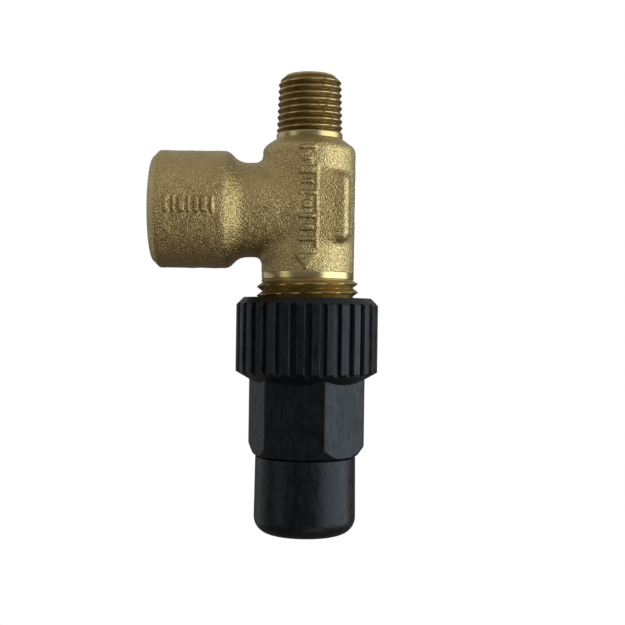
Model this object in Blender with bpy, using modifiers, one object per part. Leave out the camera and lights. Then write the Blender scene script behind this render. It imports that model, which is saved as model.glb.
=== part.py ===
"""Spring-loaded pressure relief valve, as an assembly of its separate pieces.

Sizes are in millimetres and become metres by MM. The origin is the centre of the inlet's end face, +Z points
out of the inlet and the outlet port looks along -X. Pieces are stacked downwards from the inlet, and each
takes its place from the piece that it seats on.
"""

import math

import bmesh
import bpy
import numpy as np

MM = 0.001
GAP = 0.3  # between two pieces that touch
FIT = 0.02  # keeps two faces of one solid from lying in one plane
ROUND = 32  # sides of a large turned piece
INNER_ROUND = 24  # sides of a small turned piece
ARC_STEPS = 4  # points on a rounded edge

# Inlet: male taper thread, R 1/4
INLET_THREAD_R = 6.5785
INLET_PITCH = 1.337
INLET_THREAD_DEPTH = 0.856
INLET_TAPER = 1 / 32  # of the radius, along the axis
INLET_GAUGE = 6.0  # from the end face to where the thread has that radius
INLET_CHAMFER = 1.4
INLET_THREAD_LENGTH = 11.9
INLET_BORE_R = 3.5
COLLAR_LENGTH = 0.9
COLLAR_OVER_THREAD = 0.2
SHOULDER_HEIGHT = 2.3

# Barrel and outlet port
INLET_TO_PORT = 27.8
CHAMBER_R = 7.0
SPRING_BORE_STEP = 0.6
BARREL_WALL = 1.9
PORT_TO_BAND = 12.8
BAND_LENGTH = 1.4
BAND_GROOVE = 0.2
OUTLET_BORE_R = 6.1
OUTLET_THREAD_BORE_R = 7.5
OUTLET_MOUTH_CHAMFER = 1.1
OUTLET_SOCKET_DEPTH = 14.0
PORT_WALL = 4.53
PORT_CHAMFER = 1.45
PORT_LENGTH = 22.4  # from the barrel's side to the port's end face
PORT_FULL_LENGTH = 15.5  # of that, at full diameter
NECK_WALL = 3.6
MOUTH_ROOM = 1.0  # how far a bore's cutter reaches past the face that it opens
FLAT_HEIGHT = 13.6
FLAT_CORNER_R = 1.3
FLAT_RELIEF = 0.05
FLAT_END_RELIEF = 1.4

# Seat
ROOF_ABOVE_OUTLET = 2.5
SEAT_LIP_HEIGHT = 1.0
SEAT_LIP_WIDTH = 1.2

# Lower thread, G 1/2, with the groove of the stop ring and the end land
CORE_WALL = 1.7155
KNOB_THREAD_DEPTH = 1.162
KNOB_PITCH = 1.814
KNOB_THREAD_LENGTH = 12.2
STOP_GROOVE_WIDTH = 1.9
STOP_WIRE_R = 0.7
END_LAND = 1.1

# Disc, its seal and its screw
DISC_SIDE_ROOM = 0.8
SEAL_OVER_LIP = 0.3
SEAL_THICK = 1.6
SEAL_PROUD = 0.5
RIM_WALL = 0.9
DISC_THICK = 2.5
BOSS_R = 3.6
BOSS_LENGTH = 3.5
DISC_WEB = 0.7
SCREW_R = 1.1
SCREW_HEAD_R = 2.2
SCREW_HEAD = 1.2
SCREW_SLOT = 0.6
WASHER_ROOM = 0.5
WASHER_THICK = 0.5

# Stem, bush and spring
STEM_R = 2.5
STEM_TENON_R = 2.0
STEM_TENON = 2.9
SHOULDER_UNDER_OUTLET = 0.5
BUSH_LENGTH = 5.9
RING_WIRE_R = 0.6
RING_GROOVE_WIDTH = 1.7
RING_SQUEEZE_ROOM = 0.15
CIRCLIP_THICK = 0.9
CIRCLIP_WIDTH = 1.7
CIRCLIP_DEPTH = 0.7
CIRCLIP_OPEN = 60  # degrees
CLIP_THICK = 0.7
CLIP_WIDTH = 2.1
CLIP_OPEN = 100  # degrees
CLIP_DEPTH = 0.6
SPRING_COLLAR_THICK = 1.6
WIRE_R = 0.7
COIL_R = 5.6
SPRING_LENGTH = 25.8
ACTIVE_TURNS = 5.5
END_TURNS = 1.0
END_PITCH = 1.65
COIL_POINTS = 12  # per turn
FOLLOWER_THICK = 2.0
FOLLOWER_SPIGOT = 2.5
FOLLOWER_RIM = 1.6
SPIGOT_CHAMFER = 0.5
THRUST_THICK = 1.2

# Setting knob
TRAVEL_IN = 2.0
TRAVEL_OUT = 3.0
THREAD_SHOWN = 3.5
INSERT_WALL = 1.2
INSERT_LENGTH = 4.9
INSERT_LEDGE = 0.1
KNOB_LIP = 0.6
RING_WALL = 1.35
KNURL_DEPTH = 1.0
KNURL_RIBS = 30
RIB_SHARE = 0.56
KNOB_CHAMFER = 1.3
KNURL_BELOW_BORE = 0.8
HEX_WALL = 2.3
HEX_TURN = -12  # degrees from +X to the first corner
HEX_CORNER_CHAMFER = 2.3
END_WALL = 3.0

# End cap and stem tail
CAP_STEP = 0.2
CAP_WALL = 1.4
CAP_DRAFT = 0.15
CAP_EDGE_R = 3.4
CAP_FLOOR = 2.0
CAP_SLIDE_ROOM = 0.4
SPIGOT_WALL = 1.5
SPIGOT_LENGTH = 3.3
CAP_RING_WIRE_R = 0.4
NUT_FLATS = 8.0
LIFT_NUT = 2.6
LOCK_NUT = 1.1
TAIL = 0.7
TAIL_CHAMFER = 0.4
LIFT = 2.0
TAIL_ROOM = 1.9
NUT_ROOM = 0.5

# Heights, from the inlet's end face down
PORT_Z = -INLET_TO_PORT
THREAD_END_Z = -INLET_THREAD_LENGTH
COLLAR_Z = THREAD_END_Z - COLLAR_LENGTH
BARREL_TOP_Z = COLLAR_Z - SHOULDER_HEIGHT
ROOF_Z = PORT_Z + OUTLET_BORE_R + ROOF_ABOVE_OUTLET
SEAT_Z = ROOF_Z - SEAT_LIP_HEIGHT
SEAL_Z = SEAT_Z - GAP
SEAL_FLOOR_Z = SEAL_Z - SEAL_THICK - GAP
RIM_Z = SEAL_Z - SEAL_PROUD
DISC_BOTTOM_Z = SEAL_FLOOR_Z - DISC_THICK
BOSS_Z = DISC_BOTTOM_Z - BOSS_LENGTH
BUSH_SHOULDER_Z = PORT_Z - OUTLET_BORE_R - SHOULDER_UNDER_OUTLET
BUSH_Z = BUSH_SHOULDER_Z - GAP
BUSH_BOTTOM_Z = BUSH_Z - BUSH_LENGTH
CIRCLIP_Z = BUSH_BOTTOM_Z - GAP
CLIP_Z = CIRCLIP_Z - CIRCLIP_THICK - GAP
SPRING_COLLAR_Z = CLIP_Z - CLIP_THICK - GAP
SPRING_Z = SPRING_COLLAR_Z - SPRING_COLLAR_THICK - GAP
FOLLOWER_Z = SPRING_Z - SPRING_LENGTH - GAP
THRUST_Z = FOLLOWER_Z - FOLLOWER_THICK - GAP
WALL_Z = THRUST_Z - THRUST_THICK - GAP
KNOB_END_Z = WALL_Z - END_WALL
BAND_Z = PORT_Z - PORT_TO_BAND
KNOB_THREAD_Z = BAND_Z - BAND_LENGTH - BAND_GROOVE
STOP_GROOVE_Z = KNOB_THREAD_Z - KNOB_THREAD_LENGTH
BODY_END_Z = STOP_GROOVE_Z - STOP_GROOVE_WIDTH - END_LAND
STOP_RING_Z = STOP_GROOVE_Z - STOP_GROOVE_WIDTH / 2
KNOB_Z = KNOB_THREAD_Z - THREAD_SHOWN
INSERT_Z = KNOB_Z - KNOB_LIP - GAP
WIDE_BORE_END_Z = BODY_END_Z - TRAVEL_IN - 2 * GAP
KNURL_END_Z = WIDE_BORE_END_Z - KNURL_BELOW_BORE
LIFT_NUT_Z = KNOB_END_Z - TRAVEL_OUT - NUT_ROOM
LOCK_NUT_Z = LIFT_NUT_Z - LIFT_NUT - GAP
TAIL_Z = LOCK_NUT_Z - LOCK_NUT - TAIL
CAP_FLOOR_Z = TAIL_Z - LIFT - TRAVEL_IN - TAIL_ROOM
CAP_END_Z = CAP_FLOOR_Z - CAP_FLOOR
CAP_Z = KNOB_END_Z - GAP

# Radii
SPRING_BORE_R = CHAMBER_R + SPRING_BORE_STEP
BARREL_R = SPRING_BORE_R + BARREL_WALL
COLLAR_R = INLET_THREAD_R + COLLAR_OVER_THREAD
PORT_R = OUTLET_THREAD_BORE_R + PORT_WALL
NECK_R = OUTLET_BORE_R + NECK_WALL
PORT_REACH = BARREL_R + PORT_LENGTH
CORE_R = SPRING_BORE_R + CORE_WALL
KNOB_THREAD_R = CORE_R + KNOB_THREAD_DEPTH
SEAT_LIP_R = INLET_BORE_R + SEAT_LIP_WIDTH
DISC_R = CHAMBER_R - DISC_SIDE_ROOM
SEAL_R = SEAT_LIP_R + SEAL_OVER_LIP
STEM_HOLE_R = STEM_R + GAP
BUSH_R = SPRING_BORE_R - GAP
FOLLOWER_R = COIL_R + WIRE_R + FOLLOWER_RIM
KNOB_BORE_R = FOLLOWER_R + GAP
INSERT_BORE_R = KNOB_THREAD_R + GAP + FIT
INSERT_R = INSERT_BORE_R + INSERT_WALL
POCKET_R = INSERT_R + GAP
WIDE_BORE_R = INSERT_R - INSERT_LEDGE
KNOB_R = POCKET_R + RING_WALL + KNURL_DEPTH
HEX_R = KNOB_BORE_R + HEX_WALL  # half the distance across the flats
CAP_R = HEX_R - CAP_STEP
CAP_BORE_R = CAP_R - CAP_WALL
SPIGOT_R = CAP_BORE_R - CAP_SLIDE_ROOM

OBJECT = "pressure_relief_valve"


def clear_scene():
    """Removes whatever the file opened with."""
    for thing in list(bpy.data.objects):
        bpy.data.objects.remove(thing, do_unlink=True)


def collection(name):
    """A new collection in the scene."""
    made = bpy.data.collections.new(name)
    bpy.context.scene.collection.children.link(made)
    return made


def material(name, colour, roughness, metallic):
    """A Principled material of one colour."""
    made = bpy.data.materials.new(name)
    made.use_nodes = True
    shader = made.node_tree.nodes["Principled BSDF"]
    shader.inputs["Base Color"].default_value = (*colour, 1.0)
    shader.inputs["Roughness"].default_value = roughness
    shader.inputs["Metallic"].default_value = metallic
    return made


def arc(centre_r, centre_z, radius, start, end, steps=ARC_STEPS):
    """Points of a round edge, from one angle to another in degrees."""
    angles = np.radians(np.linspace(start, end, steps + 1))
    return [(centre_r + radius * math.cos(a), centre_z + radius * math.sin(a)) for a in angles]


def thread_ridges(top_z, length, pitch, crest_r, depth, taper=0.0):
    """Crests and roots of a thread as rings, from the top down; the crest grows by taper along the axis."""
    points = []
    for turn in range(int(length / pitch)):
        for share, cut in ((0.0, depth), (0.4, 0.0), (0.6, 0.0)):
            down = (turn + share) * pitch
            points.append((crest_r + taper * down - cut, top_z - down))
    return points


class Builder:
    """Makes pieces in the object's collection, and cutters in another."""

    def __init__(self):
        self.parts = collection(OBJECT)
        self.cutters = collection("cutters")
        self.materials = {
            "brass": material("forged_brass", (0.45, 0.33, 0.12), 0.42, 1.0),
            "bright_brass": material("turned_brass", (0.6, 0.45, 0.17), 0.25, 1.0),
            "steel": material("stainless_steel", (0.6, 0.6, 0.6), 0.28, 1.0),
            "spring_steel": material("spring_steel", (0.42, 0.42, 0.43), 0.35, 1.0),
            "rubber": material("black_rubber", (0.015, 0.015, 0.015), 0.75, 0.0),
            "plastic": material("black_plastic", (0.018, 0.019, 0.021), 0.5, 0.0),
            "cap_plastic": material("cap_plastic", (0.014, 0.015, 0.017), 0.35, 0.0),
        }

    def add(self, name, data, finish):
        """Links a new object; without a finish it is a cutter."""
        made = bpy.data.objects.new(name, data)
        if finish is None:
            self.cutters.objects.link(made)
            made.hide_render = True
            made.display_type = "WIRE"
        else:
            self.parts.objects.link(made)
            made.data.materials.append(self.materials[finish])
        return made

    def turned(self, name, profile, finish=None, steps=INNER_ROUND, closed=True):
        """A turned solid. The profile's outer side runs from top to bottom; an open one ends on the axis."""
        mesh = bpy.data.meshes.new(name)
        count = len(profile)
        edges = [(i, i + 1) for i in range(count - 1)] + ([(count - 1, 0)] if closed else [])
        mesh.from_pydata([(r * MM, 0.0, z * MM) for r, z in profile], edges, [])
        made = self.add(name, mesh, finish)
        screw = made.modifiers.new("turn", "SCREW")
        screw.axis = "Z"
        screw.steps = screw.render_steps = steps
        screw.use_merge_vertices = True
        screw.merge_threshold = 0.00001
        return made

    def ring(self, name, inner_r, outer_r, top_z, bottom_z, finish=None, steps=INNER_ROUND):
        """A plain washer or sleeve."""
        profile = [(outer_r, top_z), (outer_r, bottom_z), (inner_r, bottom_z), (inner_r, top_z)]
        return self.turned(name, profile, finish, steps)

    def round_ring(self, name, centre_r, wire_r, z, finish):
        """A ring of round section, such as an O-ring."""
        section = arc(centre_r, z, wire_r, 90, -210, 5)
        return self.turned(name, section, finish, INNER_ROUND)

    def plate(self, name, outlines, top_z, bottom_z, finish=None):
        """Flat outlines, a second one inside the first being a hole, as a solid between two heights."""
        curve = bpy.data.curves.new(name, "CURVE")
        curve.dimensions = "2D"
        curve.fill_mode = "BOTH"
        curve.extrude = (top_z - bottom_z) / 2 * MM
        for outline in outlines:
            spline = curve.splines.new("POLY")
            spline.points.add(len(outline) - 1)
            for point, (x, y) in zip(spline.points, outline, strict=True):
                point.co = (x * MM, y * MM, 0.0, 1.0)
            spline.use_cyclic_u = True
        made = self.add(name, curve, finish)
        made.location.z = (top_z + bottom_z) / 2 * MM
        return self.as_mesh(made)

    def as_mesh(self, thing):
        """Turns a curve object into a mesh object of the same name, with its caps welded."""
        name, owner, wire = thing.name, thing.users_collection[0], thing.display_type
        hidden, finish = thing.hide_render, list(thing.data.materials)
        bpy.context.view_layer.update()
        graph = bpy.context.evaluated_depsgraph_get()
        mesh = bpy.data.meshes.new_from_object(thing.evaluated_get(graph))
        work = bmesh.new()
        work.from_mesh(mesh)
        bmesh.ops.remove_doubles(work, verts=work.verts, dist=0.000001)
        bmesh.ops.recalc_face_normals(work, faces=work.faces)
        work.to_mesh(mesh)
        work.free()
        place = thing.matrix_world.copy()
        bpy.data.objects.remove(thing, do_unlink=True)
        mesh.name = name
        mesh.materials.clear()
        for each in finish:
            mesh.materials.append(each)
        made = bpy.data.objects.new(name, mesh)
        made.matrix_world = place
        made.hide_render = hidden
        made.display_type = wire
        owner.objects.link(made)
        return made

    def change(self, thing, operation, other):
        """A Boolean of the thing with another solid, which is kept as a cutter."""
        step = thing.modifiers.new(operation.lower(), "BOOLEAN")
        step.operation = operation
        step.solver = "EXACT"
        step.object = other

    def finish_meshes(self):
        """Turns every piece's modifiers into its mesh and shades it smooth between its sharp edges."""
        bpy.context.view_layer.update()
        graph = bpy.context.evaluated_depsgraph_get()
        for thing in self.parts.objects:
            mesh = bpy.data.meshes.new_from_object(thing.evaluated_get(graph))
            thing.modifiers.clear()
            thing.data = mesh
            mesh.name = thing.name
            mesh.shade_smooth()
            mesh.set_sharp_from_angle(angle=math.radians(32))


def polygon(radius, sides, turn=0.0):
    """Corners of a regular polygon, turned by some degrees."""
    angles = [math.radians(turn + 360 * i / sides) for i in range(sides)]
    return [(radius * math.cos(a), radius * math.sin(a)) for a in angles]


def open_ring(inner_r, outer_r, opening, facing, steps=20):
    """Outline of a flat ring with an opening of some degrees that faces a direction."""
    angles = np.radians(np.linspace(facing + opening / 2, facing + 360 - opening / 2, steps + 1))
    outside = [(outer_r * math.cos(a), outer_r * math.sin(a)) for a in angles]
    inside = [(inner_r * math.cos(a), inner_r * math.sin(a)) for a in angles[::-1]]
    return outside + inside


def port_profile():
    """Outside of the outlet port against the distance from the barrel's axis, from the mouth inwards."""
    full_end = PORT_REACH - PORT_FULL_LENGTH
    return [
        (0, PORT_REACH),
        (PORT_R - PORT_CHAMFER, PORT_REACH),
        (PORT_R, PORT_REACH - PORT_CHAMFER),
        (PORT_R, full_end),
        (NECK_R, full_end - (PORT_R - NECK_R)),
        (NECK_R, 0),
        (0, 0),
    ]


def inlet_profile():
    """Outside of the inlet: end chamfer, taper thread, collar and the rounded shoulder of the barrel."""
    small_end_r = INLET_THREAD_R - INLET_GAUGE * INLET_TAPER
    large_end_r = small_end_r + INLET_THREAD_LENGTH * INLET_TAPER
    shoulder_r = (BARREL_R - COLLAR_R) / 2
    length = INLET_THREAD_LENGTH - INLET_CHAMFER
    return [
        (0, 0),
        (small_end_r - INLET_CHAMFER, 0),
        (small_end_r - INLET_THREAD_DEPTH - INLET_TAPER, INLET_THREAD_DEPTH - INLET_CHAMFER),
        *thread_ridges(-INLET_CHAMFER, length, INLET_PITCH, small_end_r, INLET_THREAD_DEPTH, INLET_TAPER),
        (large_end_r - INLET_THREAD_DEPTH, THREAD_END_Z),
        (COLLAR_R, THREAD_END_Z - FIT),
        (COLLAR_R, COLLAR_Z),
        *arc(BARREL_R - shoulder_r, BARREL_TOP_Z, shoulder_r, 70, 0),
    ]


def lower_thread_profile():
    """Outside of the barrel's lower end: turned band, thread, groove of the stop ring and end land."""
    land_r = KNOB_THREAD_R - KNOB_THREAD_DEPTH / 4
    return [
        (BARREL_R, BAND_Z - BAND_LENGTH),
        (CORE_R, BAND_Z - BAND_LENGTH - FIT),
        *thread_ridges(KNOB_THREAD_Z, KNOB_THREAD_LENGTH, KNOB_PITCH, KNOB_THREAD_R, KNOB_THREAD_DEPTH),
        (CORE_R, STOP_GROOVE_Z),
        (CORE_R, STOP_GROOVE_Z - STOP_GROOVE_WIDTH),
        (land_r, STOP_GROOVE_Z - STOP_GROOVE_WIDTH - FIT),
        (land_r, BODY_END_Z + END_LAND / 2),
        (CORE_R, BODY_END_Z),
        (0, BODY_END_Z),
    ]


def body_bore_profile():
    """Inlet bore, seat lip, chamber, bush bore with the circlip's groove, down through the lower end."""
    groove_r = SPRING_BORE_R + CIRCLIP_DEPTH
    groove_end = CIRCLIP_Z - CIRCLIP_THICK - GAP
    return [
        (0, MOUTH_ROOM),
        (INLET_BORE_R, MOUTH_ROOM),
        (INLET_BORE_R, SEAT_Z),
        (SEAT_LIP_R, SEAT_Z),
        (SEAT_LIP_R, ROOF_Z),
        (CHAMBER_R, ROOF_Z),
        (CHAMBER_R, BUSH_SHOULDER_Z),
        (SPRING_BORE_R, BUSH_SHOULDER_Z),
        (SPRING_BORE_R, CIRCLIP_Z + GAP),
        (groove_r, CIRCLIP_Z + GAP),
        (groove_r, groove_end),
        (SPRING_BORE_R, groove_end),
        (SPRING_BORE_R, BODY_END_Z - MOUTH_ROOM),
        (0, BODY_END_Z - MOUTH_ROOM),
    ]


def port_bore_profile():
    """Mouth chamfer, tapping bore and flow bore of the outlet, from outside the mouth into the chamber."""
    mouth_r = OUTLET_THREAD_BORE_R + OUTLET_MOUTH_CHAMFER
    socket_end = PORT_REACH - OUTLET_SOCKET_DEPTH
    return [
        (0, PORT_REACH + MOUTH_ROOM),
        (mouth_r + MOUTH_ROOM, PORT_REACH + MOUTH_ROOM),
        (OUTLET_THREAD_BORE_R, PORT_REACH - OUTLET_MOUTH_CHAMFER),
        (OUTLET_THREAD_BORE_R, socket_end),
        (OUTLET_BORE_R, socket_end - (OUTLET_THREAD_BORE_R - OUTLET_BORE_R)),
        (OUTLET_BORE_R, MOUTH_ROOM),
        (0, MOUTH_ROOM),
    ]


def wrench_block(make):
    """The squared half of the barrel opposite the port, with rounded corners, which gives the flats."""
    block = make.add("wrench_block", bpy.data.meshes.new("wrench_block"), None)
    flat = BARREL_R - FLAT_RELIEF
    reach = BARREL_R - FLAT_END_RELIEF
    work = bmesh.new()
    bmesh.ops.create_cube(work, size=1.0)
    bmesh.ops.scale(work, vec=(reach * MM, 2 * flat * MM, FLAT_HEIGHT * MM), verts=work.verts)
    bmesh.ops.translate(work, vec=(reach / 2 * MM, 0, PORT_Z * MM), verts=work.verts)
    corners = [e for e in work.edges if all(v.co.x > reach / 2 * MM for v in e.verts)
               and abs(e.verts[0].co.y - e.verts[1].co.y) < GAP * MM]
    bmesh.ops.bevel(
        work, geom=corners, offset=FLAT_CORNER_R * MM, segments=ARC_STEPS, profile=0.5, affect="EDGES"
    )
    work.to_mesh(block.data)
    work.free()
    return block


def valve_body(make):
    """Brass forging: inlet thread, barrel with wrench flats, outlet port, lower thread, and its bores."""
    outside = inlet_profile() + lower_thread_profile()
    body = make.turned("valve_body", outside, "brass", ROUND, closed=False)
    port = make.turned("outlet_port", port_profile(), steps=ROUND, closed=False)
    port_bore = make.turned("outlet_bore", port_bore_profile(), steps=ROUND, closed=False)
    for each in (port, port_bore):
        each.location.z = PORT_Z * MM
        each.rotation_euler.y = -math.pi / 2
    bore = make.turned("body_bore", body_bore_profile(), steps=ROUND, closed=False)
    make.change(body, "UNION", port)
    make.change(body, "UNION", wrench_block(make))
    make.change(body, "DIFFERENCE", bore)
    make.change(body, "DIFFERENCE", port_bore)


def disc_set(make):
    """Disc holder with its rubber seal, the washer over the seal and the slotted screw that holds both."""
    screw_hole_r = SCREW_R + GAP
    screw_end_z = SEAL_FLOOR_Z - DISC_THICK + DISC_WEB + GAP
    holder = [
        (0, screw_end_z - GAP),
        (screw_hole_r, screw_end_z - GAP),
        (screw_hole_r, SEAL_FLOOR_Z),
        (SEAL_R + GAP, SEAL_FLOOR_Z),
        (SEAL_R + GAP, RIM_Z),
        (DISC_R, RIM_Z),
        (DISC_R, DISC_BOTTOM_Z + RIM_WALL),
        (DISC_R - RIM_WALL, DISC_BOTTOM_Z),
        (BOSS_R, DISC_BOTTOM_Z),
        (BOSS_R, BOSS_Z),
        (STEM_TENON_R + GAP, BOSS_Z),
        (STEM_TENON_R + GAP, screw_end_z - GAP - DISC_WEB),
        (0, screw_end_z - GAP - DISC_WEB),
    ]
    make.turned("disc_holder", holder, "bright_brass", closed=False)
    make.ring("disc_seal", screw_hole_r, SEAL_R, SEAL_Z, SEAL_Z - SEAL_THICK, "rubber")
    washer_z = SEAL_Z + GAP + WASHER_THICK
    make.ring("seal_washer", screw_hole_r, INLET_BORE_R - WASHER_ROOM, washer_z, SEAL_Z + GAP, "steel")
    head_z = washer_z + GAP
    screw_profile = [
        (0, head_z + SCREW_HEAD),
        (SCREW_HEAD_R, head_z + SCREW_HEAD),
        (SCREW_HEAD_R, head_z),
        (SCREW_R, head_z),
        (SCREW_R, screw_end_z),
        (0, screw_end_z),
    ]
    screw = make.turned("seal_screw", screw_profile, "steel", closed=False)
    half = SCREW_SLOT / 2
    long = SCREW_HEAD_R + GAP
    slot = [(-long, -half), (long, -half), (long, half), (-long, half)]
    top = head_z + SCREW_HEAD
    make.change(screw, "DIFFERENCE", make.plate("screw_slot", [slot], top + GAP, top - SCREW_SLOT))


def stem(make):
    """Stainless rod: tenon in the disc holder, clip groove, and a tail for the lift nut."""
    tenon_z = BOSS_Z - GAP
    groove_r = STEM_R - CLIP_DEPTH
    make.turned("stem", [
        (0, tenon_z + STEM_TENON),
        (STEM_TENON_R, tenon_z + STEM_TENON),
        (STEM_TENON_R, tenon_z),
        (STEM_R, tenon_z),
        (STEM_R, CLIP_Z + GAP),
        (groove_r, CLIP_Z + GAP),
        (groove_r, CLIP_Z - CLIP_THICK - GAP),
        (STEM_R, CLIP_Z - CLIP_THICK - GAP),
        (STEM_R, TAIL_Z + TAIL_CHAMFER),
        (STEM_R - TAIL_CHAMFER, TAIL_Z),
        (0, TAIL_Z),
    ], "steel", closed=False)


def bush_set(make):
    """Guide bush with its O-rings and the circlip under it."""
    middle = BUSH_Z - BUSH_LENGTH / 2
    low, high = middle - RING_GROOVE_WIDTH / 2, middle + RING_GROOVE_WIDTH / 2
    outer_centre = SPRING_BORE_R - RING_SQUEEZE_ROOM - RING_WIRE_R
    inner_centre = STEM_R + RING_SQUEEZE_ROOM + RING_WIRE_R
    outer_groove = outer_centre - RING_WIRE_R - RING_SQUEEZE_ROOM
    inner_groove = inner_centre + RING_WIRE_R + RING_SQUEEZE_ROOM
    make.turned("guide_bush", [
        (BUSH_R, BUSH_Z),
        (BUSH_R, high),
        (outer_groove, high),
        (outer_groove, low),
        (BUSH_R, low),
        (BUSH_R, BUSH_BOTTOM_Z),
        (STEM_HOLE_R, BUSH_BOTTOM_Z),
        (STEM_HOLE_R, low),
        (inner_groove, low),
        (inner_groove, high),
        (STEM_HOLE_R, high),
        (STEM_HOLE_R, BUSH_Z),
    ], "bright_brass")
    make.round_ring("stem_o_ring", inner_centre, RING_WIRE_R, middle, "rubber")
    make.round_ring("bush_o_ring", outer_centre, RING_WIRE_R, middle, "rubber")
    outer = SPRING_BORE_R + CIRCLIP_DEPTH - GAP
    circlip = open_ring(outer - CIRCLIP_WIDTH, outer, CIRCLIP_OPEN, 90)
    make.plate("bush_circlip", [circlip], CIRCLIP_Z, CIRCLIP_Z - CIRCLIP_THICK, "spring_steel")


def spring_set(make):
    """Collar and clip on the stem, the spring, its follower and the thrust washer under it."""
    clip_inner = STEM_R - CLIP_DEPTH + GAP
    clip = open_ring(clip_inner, clip_inner + CLIP_WIDTH, CLIP_OPEN, 0)
    make.plate("collar_clip", [clip], CLIP_Z, CLIP_Z - CLIP_THICK, "spring_steel")
    collar_r = COIL_R + WIRE_R
    make.ring(
        "spring_collar", STEM_HOLE_R, collar_r, SPRING_COLLAR_Z, SPRING_COLLAR_Z - SPRING_COLLAR_THICK,
        "bright_brass",
    )
    coil_spring(make)
    spigot_r = COIL_R - WIRE_R - GAP
    spigot_z = FOLLOWER_Z + FOLLOWER_SPIGOT
    make.turned("spring_follower", [
        (spigot_r - SPIGOT_CHAMFER, spigot_z),
        (spigot_r, spigot_z - SPIGOT_CHAMFER),
        (spigot_r, FOLLOWER_Z),
        (FOLLOWER_R, FOLLOWER_Z),
        (FOLLOWER_R, FOLLOWER_Z - FOLLOWER_THICK),
        (STEM_HOLE_R, FOLLOWER_Z - FOLLOWER_THICK),
        (STEM_HOLE_R, spigot_z),
    ], "bright_brass")
    make.ring(
        "thrust_washer", STEM_HOLE_R, FOLLOWER_R - FOLLOWER_RIM, THRUST_Z, THRUST_Z - THRUST_THICK, "steel"
    )


def coil_spring(make):
    """Compression spring with closed ends: the pitch grows smoothly from the end turns to the active ones."""
    turns = ACTIVE_TURNS + 2 * END_TURNS
    t = np.linspace(0, turns, int(turns * COIL_POINTS) + 1)
    from_end = np.minimum(t, turns - t)
    opened = np.clip((from_end - END_TURNS) / END_TURNS, 0, 1)
    opened = opened * opened * (3 - 2 * opened)
    step = turns / (len(t) - 1)
    middle = (opened[1:] + opened[:-1]) / 2
    height = SPRING_LENGTH - 2 * WIRE_R
    extra = (height - END_PITCH * turns) / (middle.sum() * step)
    z = np.concatenate([[0], np.cumsum((END_PITCH + extra * middle) * step)])
    curve = bpy.data.curves.new("spring", "CURVE")
    curve.dimensions = "3D"
    curve.bevel_depth = WIRE_R * MM
    curve.bevel_resolution = 2
    curve.use_fill_caps = True
    spline = curve.splines.new("POLY")
    spline.points.add(len(t) - 1)
    angle = 2 * math.pi * t
    for point, a, down in zip(spline.points, angle, z, strict=True):
        x, y = COIL_R * math.cos(a), COIL_R * math.sin(a)
        point.co = (x * MM, y * MM, (SPRING_Z - WIRE_R - down) * MM, 1.0)
    make.as_mesh(make.add("spring", curve, "spring_steel"))


def setting_knob(make):
    """Plastic knob: knurled ring over the body's thread, then a hexagon with the spigot of the end cap."""
    knurl_deep = KNOB_R - KNURL_DEPTH
    pitch = 360 / KNURL_RIBS
    outline = []
    for rib in range(KNURL_RIBS):
        middle = rib * pitch
        for share, radius in ((-0.5, KNOB_R), (0.5, KNOB_R), (0.72, knurl_deep), (1.28, knurl_deep)):
            angle = math.radians(middle + share * pitch * RIB_SHARE)
            outline.append((radius * math.cos(angle), radius * math.sin(angle)))
    corner_r = HEX_R / math.cos(math.radians(30))
    cone_end = KNURL_END_Z - (KNOB_R - corner_r) * math.tan(math.radians(30))
    knob = make.plate("setting_knob", [outline], KNOB_Z + GAP, cone_end - GAP, "plastic")
    hexagon = make.plate("knob_hexagon", [polygon(corner_r, 6, HEX_TURN)], cone_end, KNOB_END_Z)
    envelope = make.turned("knob_envelope", [
        (0, KNOB_Z),
        (KNOB_R - KNOB_CHAMFER, KNOB_Z),
        (KNOB_R + FIT, KNOB_Z - KNOB_CHAMFER),
        (KNOB_R + FIT, KNURL_END_Z),
        (corner_r + FIT, cone_end),
        (corner_r + FIT, KNOB_END_Z + HEX_CORNER_CHAMFER),
        (CAP_R + CAP_STEP, KNOB_END_Z),
        (0, KNOB_END_Z),
    ], steps=ROUND, closed=False)
    ring_groove_r = SPIGOT_R - CAP_RING_WIRE_R - RING_SQUEEZE_ROOM
    ring_z = cap_ring_z()
    groove_half = CAP_RING_WIRE_R + RING_SQUEEZE_ROOM
    spigot = make.turned("knob_spigot", [
        (SPIGOT_R, KNOB_END_Z + END_WALL / 2),
        (SPIGOT_R, ring_z + groove_half),
        (ring_groove_r, ring_z + groove_half),
        (ring_groove_r, ring_z - groove_half),
        (SPIGOT_R, ring_z - groove_half),
        (SPIGOT_R, KNOB_END_Z - SPIGOT_LENGTH),
        (SPIGOT_R - SPIGOT_WALL, KNOB_END_Z - SPIGOT_LENGTH),
        (SPIGOT_R - SPIGOT_WALL, KNOB_END_Z + END_WALL / 2),
    ])
    bore = make.turned("knob_bore", [
        (0, KNOB_Z + MOUTH_ROOM),
        (INSERT_BORE_R + GAP, KNOB_Z + MOUTH_ROOM),
        (INSERT_BORE_R + GAP, KNOB_Z - KNOB_LIP),
        (POCKET_R, KNOB_Z - KNOB_LIP),
        (POCKET_R, INSERT_Z - INSERT_LENGTH - GAP),
        (WIDE_BORE_R, INSERT_Z - INSERT_LENGTH - GAP),
        (WIDE_BORE_R, WIDE_BORE_END_Z),
        (KNOB_BORE_R, WIDE_BORE_END_Z),
        (KNOB_BORE_R, WALL_Z),
        (STEM_HOLE_R, WALL_Z),
        (STEM_HOLE_R, KNOB_END_Z - MOUTH_ROOM),
        (0, KNOB_END_Z - MOUTH_ROOM),
    ], steps=ROUND, closed=False)
    make.change(knob, "UNION", hexagon)
    make.change(knob, "INTERSECT", envelope)
    make.change(knob, "UNION", spigot)
    make.change(knob, "DIFFERENCE", bore)


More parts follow.
